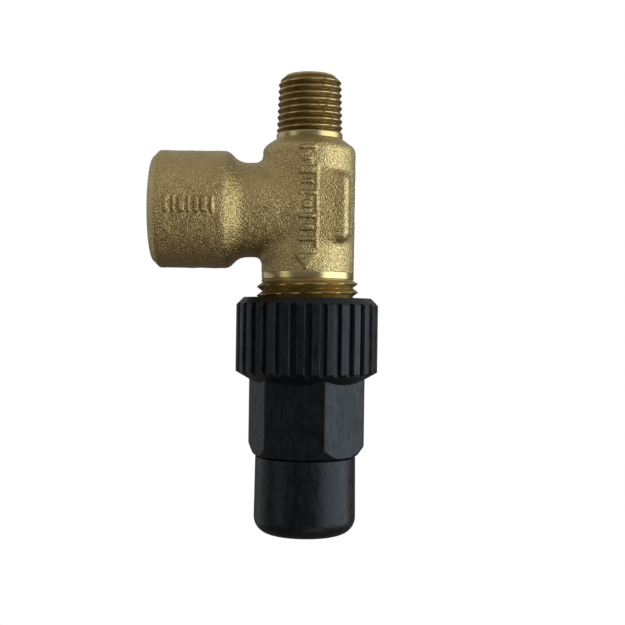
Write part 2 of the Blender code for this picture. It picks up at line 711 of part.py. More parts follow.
def cap_ring_z():
    """Height of the cap's O-ring, halfway along the spigot."""
    return CAP_Z - (SPIGOT_LENGTH - GAP) / 2


def knob_rings(make):
    """Brass thread ring in the knob, and the wire ring in the body's groove that stops it."""
    make.ring("thread_insert", INSERT_BORE_R, INSERT_R, INSERT_Z, INSERT_Z - INSERT_LENGTH, "bright_brass")
    centre_r = CORE_R + GAP + STOP_WIRE_R
    make.round_ring("stop_ring", centre_r, STOP_WIRE_R, STOP_RING_Z, "spring_steel")


def end_cap(make):
    """Push-on cap over the stem's tail, and the O-ring that holds it."""
    low_r = CAP_R + CAP_DRAFT
    make.turned("end_cap", [
        (0, CAP_FLOOR_Z),
        (CAP_BORE_R, CAP_FLOOR_Z),
        (CAP_BORE_R, CAP_Z),
        (CAP_R, CAP_Z),
        *arc(low_r - CAP_EDGE_R, CAP_END_Z + CAP_EDGE_R, CAP_EDGE_R, 0, -90),
        (0, CAP_END_Z),
    ], "cap_plastic", ROUND, closed=False)
    centre_r = CAP_BORE_R - RING_SQUEEZE_ROOM - CAP_RING_WIRE_R
    make.round_ring("cap_o_ring", centre_r, CAP_RING_WIRE_R, cap_ring_z(), "rubber")


def nuts(make):
    """Lift nut and the thin nut that locks it, on the stem's tail."""
    corner_r = NUT_FLATS / 2 / math.cos(math.radians(30))
    hole = polygon(STEM_HOLE_R, INNER_ROUND)
    for name, top, thick, turn in (
        ("lift_nut", LIFT_NUT_Z, LIFT_NUT, 0),
        ("lock_nut", LOCK_NUT_Z, LOCK_NUT, 20),
    ):
        make.plate(name, [polygon(corner_r, 6, turn), hole], top, top - thick, "steel")


def build():
    """The whole valve."""
    clear_scene()
    make = Builder()
    for piece in (
        valve_body, disc_set, stem, bush_set, spring_set, setting_knob, knob_rings, end_cap, nuts
    ):
        piece(make)
    make.finish_meshes()


build()
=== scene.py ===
"""Looks of a spring-loaded pressure relief valve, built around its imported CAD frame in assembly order."""

import math

import bmesh
import bpy
import numpy as np
from mathutils import Matrix, Vector


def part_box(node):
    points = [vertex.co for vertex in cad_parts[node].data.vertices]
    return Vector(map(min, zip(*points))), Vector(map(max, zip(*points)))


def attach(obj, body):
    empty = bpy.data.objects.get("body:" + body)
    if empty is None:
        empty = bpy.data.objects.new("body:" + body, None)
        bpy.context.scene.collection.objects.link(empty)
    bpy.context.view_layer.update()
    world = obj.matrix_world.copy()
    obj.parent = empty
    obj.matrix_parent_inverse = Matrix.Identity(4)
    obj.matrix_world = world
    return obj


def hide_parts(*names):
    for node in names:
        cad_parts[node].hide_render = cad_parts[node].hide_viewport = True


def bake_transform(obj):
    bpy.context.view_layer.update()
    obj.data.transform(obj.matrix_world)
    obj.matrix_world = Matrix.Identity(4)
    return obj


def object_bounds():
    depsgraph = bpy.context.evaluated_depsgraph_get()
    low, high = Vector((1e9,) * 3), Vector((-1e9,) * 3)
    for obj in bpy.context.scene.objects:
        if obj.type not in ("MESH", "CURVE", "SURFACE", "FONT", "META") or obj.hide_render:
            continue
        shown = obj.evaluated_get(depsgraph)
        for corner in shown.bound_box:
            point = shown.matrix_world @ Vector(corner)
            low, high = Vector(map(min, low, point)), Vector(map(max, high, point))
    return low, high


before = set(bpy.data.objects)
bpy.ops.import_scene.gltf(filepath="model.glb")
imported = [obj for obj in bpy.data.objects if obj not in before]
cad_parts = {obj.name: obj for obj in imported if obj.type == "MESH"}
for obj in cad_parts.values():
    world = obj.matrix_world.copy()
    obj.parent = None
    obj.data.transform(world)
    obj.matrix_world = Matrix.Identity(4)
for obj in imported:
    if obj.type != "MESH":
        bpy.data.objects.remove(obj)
cad_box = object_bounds()


# ---- Forged body skin ------------------------------------------------------------------------------------
# The valve's barrel, outlet neck and wrench flats are one hot brass forging, shot-blasted afterwards.
# Its skin is the level surface of a smooth union of the forging's simple shapes, with the fillets of the
# die and low raised marks on the front; the machined ends are pieces of their own, further down.
MM = 0.001
X, Y, Z = 0, 1, 2
body_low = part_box("valve_body")[0]
PORT_Z = -27.8  # height of the outlet's axis below the inlet's end face
PORT_REACH = -body_low[X] / MM
BARREL_R = 9.5
COLLAR_R = 6.75
COLLAR_Z = -13.1
BARREL_TOP_Z = -15.1
BAND_Z = PORT_Z - 12.8
PORT_R = 12.03
PORT_FULL_END = PORT_REACH - 15.5
PORT_CHAMFER = 1.45
NECK_R = 9.7
FLAT_HALF_HEIGHT = 6.8
FLAT_CORNER_R = 1.3
FLAT_REACH = 8.1
FLAT_HEIGHT_OFFSET = 0.2
DIE_FILLET = 1.7
NECK_FILLET = 1.1
FLAT_FILLET = 1.3
SHOULDER_EDGE = 0.8
PORT_EDGE = 0.6
FLAT_END_EDGE = 2.0
OVERLAP = 0.8  # how far the skin runs on under a machined end
MARK_HEIGHT = 0.46
MARK_EDGE = 0.36
BARREL_BARS = [(1.7, 0.42), (1.0, 0.42), (1.7, 0.75), (1.3, 0.42), (1.7, 0.42), (0.9, 0.75), (1.7, 0.42),
               (1.4, 0.6), (1.7, 0.42)]  # half of each bar's length and width
BARREL_BARS_X = -0.25
BARREL_BARS_TOP = 11.9
BARREL_BAR_PITCH = 2.28
PORT_BARS = (0.45, 0.3, 0.6, 0.3, 0.45, 0.6, 0.3)  # half of each bar's width
PORT_BARS_X = -27.9
PORT_BAR_PITCH = 1.5
PORT_BAR_HALF_HEIGHT = 1.6
CHAMBER_R = 7.0
ROOF_Z = -19.2
BUSH_SHOULDER_Z = -34.4
OUTLET_BORE_R = 6.1
SKIN_VOXEL = 0.28


def smooth_min(a, b, width):
    """The smaller of two distances, with the corner between them filled over the given width."""
    h = np.clip(width - np.abs(a - b), 0, None) / width
    return np.minimum(a, b) - h * h * width / 4


def smooth_max(a, b, width):
    """The larger of two distances, with the corner between them rounded over the given width."""
    return -smooth_min(-a, -b, width)


def bar_distance(u, v, centre_u, centre_v, half_u, half_v, round_r):
    """Distance to a flat bar with rounded corners: how far a point lies past the bar's core, less the
    corners' radius."""
    du = np.abs(u - centre_u) - (half_u - round_r)
    dv = np.abs(v - centre_v) - (half_v - round_r)
    outside = np.hypot(np.clip(du, 0, None), np.clip(dv, 0, None))
    return outside + np.minimum(np.maximum(du, dv), 0) - round_r


def raised_marks(x, z):
    """Depth of the plain raised marks on the front: a column of bars beside a long line, that ends in a flow
    arrow's head, on the barrel, and a row of upright bars on the port. It is 1 on a mark and falls off
    smoothly over its edge."""
    nearest = np.full(x.shape, 9.0)
    for place, (half_x, half_z) in enumerate(BARREL_BARS):
        bar_z = BARREL_BARS_TOP - BARREL_BAR_PITCH * place
        nearest = np.minimum(nearest, bar_distance(x, z, BARREL_BARS_X, bar_z, half_x, half_z, 0.3))
    head = np.maximum(np.abs(x - BARREL_BARS_X) * 0.78 - (z + 12.4) * 0.62, z + 9.3)
    line = bar_distance(x, z, 1.65, 0.2, 0.26, 8.2, 0.2)
    nearest = np.minimum(nearest, np.minimum(head, line))
    for place, half_x in enumerate(PORT_BARS):
        bar_x = PORT_BARS_X + PORT_BAR_PITCH * place
        nearest = np.minimum(nearest, bar_distance(x, z, bar_x, 0.1, half_x, PORT_BAR_HALF_HEIGHT, 0.25))
    edge = np.clip(0.5 - nearest / MARK_EDGE, 0, 1)
    return edge * edge * (3 - 2 * edge)


def unevenness(points):
    """Slow swells of a forged surface: a sum of sine waves in a few fixed directions."""
    total = np.zeros(len(points))
    rng = np.random.default_rng(4)
    for length, height in ((5.0, 0.014), (3.1, 0.01), (1.7, 0.008), (1.0, 0.006)):
        for _ in range(3):
            way = rng.normal(size=3)
            way *= 2 * math.pi / length / np.linalg.norm(way)
            total += height * np.sin(points @ way + rng.uniform(0, 2 * math.pi))
    return total


def forging_distance(points):
    """How far each point, in mm from the outlet's axis, is outside the forging. Barrel, port and wrench block
    are joined with smooth minimums, then cut back where machined pieces and bores take over."""
    x, y, z = points.T
    round_barrel = np.hypot(x, y)
    round_port = np.hypot(y, z)
    collar, top = COLLAR_Z - PORT_Z, BARREL_TOP_Z - PORT_Z
    slope = math.hypot(BARREL_R - COLLAR_R, collar - top)
    shoulder = ((round_barrel - COLLAR_R) * (collar - top) + (z - collar) * (BARREL_R - COLLAR_R)) / slope
    barrel = smooth_max(round_barrel - BARREL_R, shoulder, SHOULDER_EDGE)

    from_axis = -x
    port_shoulder = ((round_port - PORT_R) - (from_axis - PORT_FULL_END)) / math.sqrt(2)
    port = smooth_max(round_port - PORT_R, port_shoulder, PORT_EDGE)
    neck = np.maximum(round_port - NECK_R, x)
    port = smooth_min(port, neck, NECK_FILLET)

    block_x = np.abs(x - FLAT_REACH / 2) - (FLAT_REACH / 2 - FLAT_CORNER_R)
    block_y = np.abs(y) - (BARREL_R - 0.05 - FLAT_CORNER_R)
    block = np.hypot(np.clip(block_x, 0, None), np.clip(block_y, 0, None))
    block = block + np.minimum(np.maximum(block_x, block_y), 0) - FLAT_CORNER_R
    block = smooth_max(block, np.abs(z - FLAT_HEIGHT_OFFSET) - FLAT_HALF_HEIGHT, FLAT_END_EDGE)

    skin = smooth_min(smooth_min(barrel, port, DIE_FILLET), block, FLAT_FILLET)
    skin = skin - MARK_HEIGHT * raised_marks(x, z) * (y < -4)
    skin = skin + unevenness(points)

    port_tip = from_axis - (PORT_REACH - PORT_CHAMFER)
    inside_chamfer = round_port - (PORT_R - np.clip(port_tip + 0.25, 0, None) - 0.12)
    skin = np.where(port_tip > -0.25, np.maximum(skin, inside_chamfer), skin)
    skin = np.maximum(skin, port_tip - OVERLAP)
    band = BAND_Z - PORT_Z
    skin = np.where(z < band, np.maximum(skin, round_barrel - (BARREL_R - 0.12 - 0.5 * (band - z))), skin)
    skin = np.maximum(skin, band - OVERLAP - z)
    skin = np.maximum(skin, z - collar)
    chamber = np.maximum(round_barrel - CHAMBER_R, z - (ROOF_Z + 0.3 - PORT_Z))
    spring_bore = np.maximum(round_barrel - 8.4, z - (BUSH_SHOULDER_Z - 0.3 - PORT_Z))
    inlet_bore = round_barrel - 4.6
    socket = np.maximum(round_port - 8.9, PORT_REACH - 14.6 - from_axis)
    flow_bore = np.maximum(round_port - OUTLET_BORE_R, x)
    for bore in (chamber, spring_bore, inlet_bore, socket, flow_bore):
        skin = np.maximum(skin, -bore)
    return skin


def onto_forging(points, passes):
    """Moves points onto the forging's surface: each pass steps along the slope by the distance over the
    slope's square."""
    step = 0.02
    for _ in range(passes):
        here = forging_distance(points)
        slope = np.stack([
            (forging_distance(points + step * axis) - forging_distance(points - step * axis)) / (2 * step)
            for axis in np.eye(3)
        ], axis=1)
        size = np.clip((slope * slope).sum(1), 0.2, None)
        move = -(here / size)[:, None] * slope
        length = np.linalg.norm(move, axis=1, keepdims=True)
        points = points + move * np.minimum(1, 0.4 / np.clip(length, 1e-9, None))
    return points


def level_surface(distance, low, high, step):
    """Points and faces of the surface where a distance is zero. Each grid cell that the surface crosses gets
    one point, the mean of its edge crossings, and each crossed edge gets the square of its four cells."""
    grid = np.stack(np.meshgrid(*[np.arange(a, b, step) for a, b in zip(low, high)], indexing="ij"), -1)
    value = distance(grid.reshape(-1, 3)).reshape(grid.shape[:3])
    inside = value < 0
    cells = np.array(value.shape) - 1
    total, count = np.zeros((*cells, 3)), np.zeros(cells)
    crossings = []
    for axis in range(3):
        here = [slice(None)] * 3
        there = [slice(None)] * 3
        here[axis], there[axis] = slice(None, -1), slice(1, None)
        here, there = tuple(here), tuple(there)
        crossed = inside[here] != inside[there]
        share = value[here] / np.where(crossed, value[here] - value[there], 1)
        place = grid[here].copy()
        place[..., axis] += share * step
        place *= crossed[..., None]
        b, c = (axis + 1) % 3, (axis + 2) % 3
        for at_b in (0, 1):
            for at_c in (0, 1):
                part = [slice(None)] * 3
                part[b] = slice(at_b, cells[b] + at_b)
                part[c] = slice(at_c, cells[c] + at_c)
                total += place[tuple(part)]
                count += crossed[tuple(part)]
        crossings.append((axis, b, c, crossed))
    used = count > 0
    number = np.full(cells, -1)
    number[used] = np.arange(used.sum())
    points = total[used] / count[used][:, None]
    faces = []
    for axis, b, c, crossed in crossings:
        at = np.argwhere(crossed)
        at = at[(at[:, b] > 0) & (at[:, c] > 0) & (at[:, b] < cells[b]) & (at[:, c] < cells[c])]
        ring = []
        for at_b, at_c in ((1, 1), (0, 1), (0, 0), (1, 0)):
            cell = at.copy()
            cell[:, b] -= at_b
            cell[:, c] -= at_c
            ring.append(number[tuple(cell.T)])
        squares = np.stack(ring, 1)
        outward = inside[tuple(at.T)]
        faces.append(np.where(outward[:, None], squares, squares[:, ::-1]))
    return points, np.concatenate(faces)


def mesh_piece(name, points, faces, sharp_angle=35):
    """A new mesh object from points in millimetres; its edges past the given angle stay sharp."""
    mesh = bpy.data.meshes.new(name)
    mesh.vertices.add(len(points))
    mesh.vertices.foreach_set("co", (np.asarray(points) * MM).astype(np.float32).ravel())
    faces = np.asarray(faces, np.int32)
    mesh.loops.add(faces.size)
    mesh.loops.foreach_set("vertex_index", faces.ravel())
    mesh.polygons.add(len(faces))
    mesh.polygons.foreach_set("loop_start", np.arange(0, faces.size, faces.shape[1], dtype=np.int32))
    mesh.update(calc_edges=True)
    mesh.validate()
    mesh.shade_smooth()
    mesh.set_sharp_from_angle(angle=math.radians(sharp_angle))
    made = bpy.data.objects.new(name, mesh)
    bpy.context.scene.collection.objects.link(made)
    return made


class Finish:
    """A Principled material whose colour, roughness and bump come from noise in object coordinates."""

    def __init__(self, name, metallic, roughness, **settings):
        self.material = bpy.data.materials.new(name)
        self.material.use_nodes = True
        self.tree = self.material.node_tree
        self.shader = self.tree.nodes["Principled BSDF"]
        self.shader.inputs["Metallic"].default_value = metallic
        self.shader.inputs["Roughness"].default_value = roughness
        for socket, value in settings.items():
            self.shader.inputs[socket.replace("_", " ")].default_value = value
        self.place = self.tree.nodes.new("ShaderNodeTexCoord").outputs["Object"]
        self.height = None

    def join(self, output, socket):
        """Links an output to an input."""
        self.tree.links.new(output, socket)

    def noise(self, scale, detail=3.0, rough=0.55, stretch=(1, 1, 1)):
        """Noise of a number of features per metre, stretched along the axes by the given factors."""
        mapping = self.tree.nodes.new("ShaderNodeMapping")
        mapping.inputs["Scale"].default_value = stretch
        self.join(self.place, mapping.inputs["Vector"])
        texture = self.tree.nodes.new("ShaderNodeTexNoise")
        texture.inputs["Scale"].default_value = scale
        texture.inputs["Detail"].default_value = detail
        texture.inputs["Roughness"].default_value = rough
        self.join(mapping.outputs["Vector"], texture.inputs["Vector"])
        return texture.outputs["Fac"]

    def attribute(self, name):
        """A number that the mesh holds at each of its points."""
        node = self.tree.nodes.new("ShaderNodeAttribute")
        node.attribute_name = name
        return node.outputs["Fac"]

    def ramp(self, value, stops):
        """Colours or greys at places along a value."""
        ramp = self.tree.nodes.new("ShaderNodeValToRGB").color_ramp
        node = ramp.id_data.nodes[-1]
        while len(ramp.elements) < len(stops):
            ramp.elements.new(0.5)
        for element, (at, colour) in zip(ramp.elements, stops):
            element.position = at
            grey = isinstance(colour, float)
            element.color = (colour, colour, colour, 1) if grey else (*colour, 1)
        self.join(value, node.inputs["Fac"])
        return node.outputs["Color"]

    def mix(self, a, b, share, kind="MIX"):
        """Two colours mixed by a share, which is a number or an output."""
        node = self.tree.nodes.new("ShaderNodeMix")
        node.data_type = "RGBA"
        node.blend_type = kind
        self.join(a, node.inputs["A"])
        self.join(b, node.inputs["B"])
        if isinstance(share, float):
            node.inputs["Factor"].default_value = share
        else:
            self.join(share, node.inputs["Factor"])
        return node.outputs["Result"]

    def bump(self, value, depth):
        """Adds relief of a depth in metres on top of the relief so far."""
        node = self.tree.nodes.new("ShaderNodeBump")
        node.inputs["Distance"].default_value = depth
        node.inputs["Strength"].default_value = 1.0
        self.join(value, node.inputs["Height"])
        if self.height is not None:
            self.join(self.height, node.inputs["Normal"])
        self.height = node.outputs["Normal"]
        self.join(self.height, self.shader.inputs["Normal"])

    def colour(self, output):
        """Takes the base colour from an output."""
        self.join(output, self.shader.inputs["Base Color"])

    def roughness(self, output):
        """Takes the roughness from an output."""
        self.join(output, self.shader.inputs["Roughness"])


def forged_brass_finish():
    """Shot-blasted forging: overlapping pits of about 0.3 mm, browner in the pits, with slow patina."""
    finish = Finish("forged_brass", 1.0, 0.3)
    pits = finish.noise(4600, 1.0, 0.5)
    coarse = finish.noise(2400, 1.0, 0.5)
    patina = finish.noise(95, 3.0, 0.6)
    base = finish.ramp(patina, [(0.3, (0.46, 0.36, 0.16)), (0.7, (0.55, 0.435, 0.2))])
    dark = finish.ramp(pits, [(0.34, (0.6, 0.5, 0.38)), (0.56, (1.0, 1.0, 1.0))])
    finish.colour(finish.mix(base, dark, 0.75, "MULTIPLY"))
    finish.roughness(finish.ramp(coarse, [(0.3, 0.2), (0.7, 0.3)]))
    finish.bump(coarse, 0.00014)
    finish.bump(pits, 0.00018)
    return finish.material


skin_points, skin_faces = level_surface(
    forging_distance, (-PORT_REACH - 0.4, -12.9, -14.6), (10.4, 12.9, 15.9), SKIN_VOXEL
)
skin_points = onto_forging(skin_points, 3) + np.array([0, 0, PORT_Z])
body_forging = mesh_piece("body_forging", skin_points, skin_faces, 60)
forged_brass = forged_brass_finish()
body_forging.data.materials.append(forged_brass)
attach(body_forging, "valve")
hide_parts("valve_body")


# ---- Inlet end -------------------------------------------------------------------------------------------
# The male R 1/4 inlet is turned and threaded on the forging's top end, with a chamfered tip, a plain collar
# under the thread and the inlet bore through it down to the seat's lip.
INLET_THREAD_R = 6.62
INLET_GAUGE = 6.0
INLET_PITCH = 1.337
INLET_DEPTH = 0.5
INLET_LENGTH = 12.25
INLET_THREAD_TOP = -0.9
INLET_STEPS = 160
ROWS_PER_PITCH = 16
THREAD_SOFTNESS = 0.13
# A little of the threads' groove value on the plain collar: painted shade that dims it, and a little more
# roughness.
COLLAR_SHADE_AND_DULLNESS = 0.1
INLET_BORE_R = 3.5
SEAT_LIP_R = 4.7
SEAT_Z = -20.2


def helical_thread(z, turn, pitch, depth):
    """How far a thread's surface lies below its crest. It is a triangle wave along the axis, softened at its
    crests and roots as the difference of two hyperbolas, and its phase gains one pitch in each turn."""
    down = np.abs(2 * np.mod(z / pitch - turn, 1.0) - 1)
    wave = np.hypot(down, THREAD_SOFTNESS) - np.hypot(1 - down, THREAD_SOFTNESS)
    reach = math.hypot(1, THREAD_SOFTNESS) - THREAD_SOFTNESS
    return depth * (1 - (wave + reach) / (2 * reach))


def turned_grid(name, radius, height, steps, sharp_angle=35, groove=None, edge_paling=None):
    """A closed surface around the Z axis. radius and height are arrays of rows by steps, or one value for
    each row. The section runs up its inner side and down its outer one, and its last row is joined to its
    first one, unless it starts and ends on the axis, where each row is merged to a point. groove says how
    deep in a thread each point lies, which the material turns into painted shade towards the roots, and
    edge_paling how much paler an edge is coloured, both from 0 to 1, for the material."""
    rows = len(radius)
    angle = np.linspace(0, 2 * math.pi, steps, endpoint=False)
    radius = np.broadcast_to(np.reshape(radius, (rows, -1)), (rows, steps))
    height = np.broadcast_to(np.reshape(height, (rows, -1)), (rows, steps))
    points = np.stack([radius * np.cos(angle), radius * np.sin(angle), height], -1).reshape(-1, 3)
    on_axis = radius[0].max() < 1e-6
    i, j = np.meshgrid(np.arange(rows - 1 if on_axis else rows), np.arange(steps), indexing="ij")
    after = (j + 1) % steps
    below = (i + 1) % rows
    faces = np.stack([i * steps + j, below * steps + j, below * steps + after, i * steps + after], -1)
    made = mesh_piece(name, points, faces.reshape(-1, 4), sharp_angle)
    for attribute, value in (("groove", groove), ("edge_paling", edge_paling)):
        if value is not None:
            made.data.attributes.new(attribute, "FLOAT", "POINT")
            made.data.attributes[attribute].data.foreach_set("value", value.astype(np.float32).ravel())
    close_poles(made)
    return made


def close_poles(made):
    """Merges the points of a row that has shrunk to the axis."""
    work = bmesh.new()
    work.from_mesh(made.data)
    bmesh.ops.remove_doubles(work, verts=work.verts, dist=1e-7)
    work.to_mesh(made.data)
    work.free()


def rounded(profile, radius, steps=5):
    """A profile whose corners are arcs: each corner's two neighbours are cut back by the radius, or by 0.45
    of the shorter side, and joined by a curve that bends towards the corner."""
    profile = np.asarray(profile, float)
    if radius == 0:
        return profile
    points = [profile[:1]]
    share = np.linspace(0, 1, steps)[:, None]
    for before, corner, after in zip(profile[:-2], profile[1:-1], profile[2:]):
        to_before, to_after = before - corner, after - corner
        cut = min(radius, 0.45 * np.hypot(*to_before), 0.45 * np.hypot(*to_after))
        start = corner + to_before * cut / max(np.hypot(*to_before), 1e-9)
        end = corner + to_after * cut / max(np.hypot(*to_after), 1e-9)
        points.append(start * (1 - share) ** 2 + corner * 2 * share * (1 - share) + end * share ** 2)
    points.append(profile[-1:])
    return np.concatenate(points)


def threaded_rows(thread_low, thread_high, pitch):
    """Heights of a thread's rows, evenly spaced from the top down."""
    count = int((thread_high - thread_low) / pitch * ROWS_PER_PITCH)
    return np.linspace(thread_high, thread_low, count)


def turned_brass_finish(name, tone, roughness, stretch, root_shade_tone):
    """Turned brass: tool lines around the axis, as noise that is squeezed along it, and a little handling
    dullness. A thread's grooves are rougher than its crests, and painted shade darkens them towards the
    root's shade tone."""
    finish = Finish(name, 1.0, roughness)
    dull = finish.noise(260, 3.0, 0.6)
    brown = tuple(np.array(tone) * (0.8, 0.76, 0.68))
    half_tone = tuple(np.sqrt(root_shade_tone) * 0.85)
    clean = finish.ramp(dull, [(0.35, brown), (0.65, tone)])
    depth = finish.attribute("groove")
    # Painted shade: the colour darkens with the groove depth, from the crest to the root's shade tone.
    root_shade = finish.ramp(depth, [(0.06, (1.0, 1.0, 1.0)), (0.22, half_tone), (0.8, root_shade_tone)])
    finish.colour(finish.mix(clean, root_shade, 1.0, "MULTIPLY"))
    finish.roughness(finish.ramp(depth, [(0.06, roughness), (0.3, roughness + 0.2)]))
    finish.bump(finish.noise(9000, 2.0, 0.6, stretch), 0.000012)
    finish.bump(finish.noise(1600, 2.0), 0.000012)
    return finish.material


BRASS = (0.56, 0.45, 0.215)
AROUND_Z = (0.01, 0.01, 1)
# The last value is the painted shade tone at each thread's root; the inlet's is much darker.
turned_brass = turned_brass_finish("turned_brass", BRASS, 0.24, AROUND_Z, (0.6, 0.54, 0.42))
inlet_brass = turned_brass_finish("inlet_brass", BRASS, 0.26, AROUND_Z, (0.32, 0.25, 0.14))

turn = np.linspace(0, 1, INLET_STEPS, endpoint=False)
thread_z = threaded_rows(-INLET_LENGTH, INLET_THREAD_TOP, INLET_PITCH)
crest = INLET_THREAD_R - (INLET_GAUGE + thread_z) / 32
run_out = np.clip((thread_z + INLET_LENGTH) / 0.5, 0, 1)[:, None]
inlet_groove = helical_thread(thread_z[:, None], turn[None, :], INLET_PITCH, 1.0) * run_out
thread_r = np.minimum(crest[:, None] - INLET_DEPTH * inlet_groove, 5.0 - thread_z[:, None])
tip = rounded([(CHAMBER_R + 0.2, ROOF_Z + 0.6), (CHAMBER_R + 0.2, ROOF_Z), (SEAT_LIP_R, ROOF_Z),
               (SEAT_LIP_R, SEAT_Z), (INLET_BORE_R, SEAT_Z), (INLET_BORE_R, -0.3), (INLET_BORE_R + 0.35, 0),
               (4.95, 0), (5.35, -0.4)], 0.15)
foot = rounded([(INLET_THREAD_R + 0.18, -INLET_LENGTH - 0.02), (COLLAR_R + 0.06, -INLET_LENGTH - 0.06),
                (COLLAR_R + 0.06, COLLAR_Z - 0.15), (COLLAR_R - 0.6, COLLAR_Z - 0.5), (5.2, COLLAR_Z - 0.5),
                (5.2, ROOF_Z + 0.6)], 0.12)
tip_r = np.repeat(tip[:, :1], INLET_STEPS, 1)
foot_r = np.repeat(foot[:, :1], INLET_STEPS, 1)
rows_r = np.concatenate([tip_r, thread_r, foot_r])
rows_z = np.concatenate([tip[:, 1], thread_z, foot[:, 1]])
# The groove depth gives the thread its painted root shade; the collar rows get a little of it too.
inlet_groove = np.pad(inlet_groove, ((len(tip), 0), (0, 0)))
inlet_groove = np.pad(inlet_groove, ((0, len(foot)), (0, 0)), constant_values=COLLAR_SHADE_AND_DULLNESS)
inlet_end = turned_grid("inlet_end", rows_r, rows_z, INLET_STEPS, 50, inlet_groove)
inlet_end.data.materials.append(inlet_brass)
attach(inlet_end, "valve")
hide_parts("valve_body")


# ---- Outlet end ------------------------------------------------------------------------------------------
# The port's end is faced, chamfered outside and in, and cut with a female G 3/8 thread that runs out at the
# bottom of the socket; the flow bore goes on from there into the chamber. It is made upright, then turned.
OUTLET_CREST_R = 7.5
OUTLET_PITCH = 1.337
OUTLET_DEPTH = 0.8
SOCKET_DEPTH = 14.0
OUTLET_ROWS = 150


def outlet_rows():
    """Rows of the outlet's end from its outer chamfer, over the face, down the thread and the flow bore,
    against the distance from the body's axis."""
    lip = rounded([(PORT_R, PORT_REACH - PORT_CHAMFER - 0.4), (PORT_R, PORT_REACH - PORT_CHAMFER),
                   (PORT_R - PORT_CHAMFER, PORT_REACH), (8.6, PORT_REACH), (8.25, PORT_REACH - 0.35)], 0.3)
    along = np.linspace(PORT_REACH - 0.4, PORT_REACH - SOCKET_DEPTH + 1.5, OUTLET_ROWS)
    around = np.linspace(0, 1, INLET_STEPS, endpoint=False)
    fade = np.clip((along - (PORT_REACH - SOCKET_DEPTH + 1.5)) / 1.5, 0, 1)[:, None]
    groove = OUTLET_DEPTH - helical_thread(along[:, None], around[None, :], OUTLET_PITCH, OUTLET_DEPTH)
    wall = OUTLET_CREST_R + groove * fade
    mouth = 8.2 - (PORT_REACH - 0.4 - along[:, None])
    wall = np.maximum(wall, mouth)
    floor = PORT_REACH - SOCKET_DEPTH
    inner = rounded([(OUTLET_CREST_R, floor + 1.4), (OUTLET_CREST_R, floor),
                     (OUTLET_BORE_R - 0.05, floor - 1.2), (OUTLET_BORE_R - 0.05, 15.2)], 0.2)
    back = np.array([(OUTLET_BORE_R + 0.6, 15.2), (9.6, floor), (9.6, PORT_REACH - 1.9)])
    rows = [np.repeat(part[:, :1], INLET_STEPS, 1) for part in (lip, inner, back)]
    radius = np.concatenate([rows[0], wall, rows[1], rows[2]])
    return radius, np.concatenate([lip[:, 1], along, inner[:, 1], back[:, 1]])


outlet_r, outlet_along = outlet_rows()
outlet_end = turned_grid("outlet_end", outlet_r[::-1], outlet_along[::-1], INLET_STEPS, 50)
turn_outward = Matrix.Translation((0, 0, PORT_Z * MM)) @ Matrix.Rotation(-math.pi / 2, 4, "Y")
outlet_end.data.transform(turn_outward)
faced_brass = turned_brass_finish("faced_brass", (0.55, 0.46, 0.23), 0.3, (1, 0.01, 0.01), (0.5, 0.44, 0.34))
outlet_end.data.materials.append(faced_brass)
outlet_end.data.materials.append(forged_brass)
middles = np.zeros(3 * len(outlet_end.data.polygons))
outlet_end.data.polygons.foreach_get("center", middles)
middles = middles.reshape(-1, 3) / MM
still_forged = np.hypot(middles[:, Y], middles[:, Z] - PORT_Z) > PORT_R - PORT_CHAMFER + 0.1
outlet_end.data.polygons.foreach_set("material_index", still_forged.astype(np.int32))
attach(outlet_end, "valve")
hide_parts("valve_body")


# ---- Lower end -------------------------------------------------------------------------------------------
# Below the forging the barrel is turned: a plain band, the male G 1/2 thread of the setting knob, the stop
# ring's groove and an end land, bored through for the bush, the circlip and the spring.
KNOB_THREAD_R = 10.4775
KNOB_PITCH = 1.814
KNOB_THREAD_DEPTH = 1.162
CORE_R = KNOB_THREAD_R - KNOB_THREAD_DEPTH
KNOB_THREAD_Z = BAND_Z - 1.6
STOP_GROOVE_Z = KNOB_THREAD_Z - 12.2
BODY_END_Z = STOP_GROOVE_Z - 3.0
SPRING_BORE_R = 7.6
LOWER_STEPS = 192

lower_turn = np.linspace(0, 1, LOWER_STEPS, endpoint=False)
lower_z = threaded_rows(STOP_GROOVE_Z, KNOB_THREAD_Z + 0.3, KNOB_PITCH)
run_in = np.clip((KNOB_THREAD_Z + 0.3 - lower_z) / 0.8, 0, 1)[:, None]
lower_groove = helical_thread(lower_z[:, None], lower_turn[None, :] + 0.5, KNOB_PITCH, 1.0)
lower_r = CORE_R + (KNOB_THREAD_R - KNOB_THREAD_DEPTH * lower_groove - CORE_R) * run_in
band = rounded([(BARREL_R - 0.7, BAND_Z + 0.5), (BARREL_R - 0.02, BAND_Z + 0.12),
                (BARREL_R - 0.02, BAND_Z - 1.2), (CORE_R + 0.02, BAND_Z - 1.36)], 0.12)
end = rounded([(CORE_R, STOP_GROOVE_Z - 0.02), (CORE_R, STOP_GROOVE_Z - 1.88), (10.15, STOP_GROOVE_Z - 1.92),
               (10.15, BODY_END_Z + 0.5), (9.5, BODY_END_Z), (SPRING_BORE_R + 0.3, BODY_END_Z),
               (SPRING_BORE_R, BODY_END_Z + 0.3), (SPRING_BORE_R, BUSH_SHOULDER_Z),
               (CHAMBER_R + 0.2, BUSH_SHOULDER_Z), (CHAMBER_R + 0.2, BUSH_SHOULDER_Z + 0.3),
               (8.6, BUSH_SHOULDER_Z + 0.3), (8.6, BAND_Z + 0.5)], 0.1)
band_r = np.repeat(band[:, :1], LOWER_STEPS, 1)
end_r = np.repeat(end[:, :1], LOWER_STEPS, 1)
rows_r = np.concatenate([band_r, lower_r, end_r])
rows_z = np.concatenate([band[:, 1], lower_z, end[:, 1]])
# The groove depth also gives this thread its painted root shade.
lower_groove = np.pad(lower_groove, ((len(band), len(end)), (0, 0)))
lower_end = turned_grid("lower_end", rows_r, rows_z, LOWER_STEPS, 50, lower_groove)
lower_end.data.materials.append(turned_brass)
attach(lower_end, "valve")
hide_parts("valve_body")


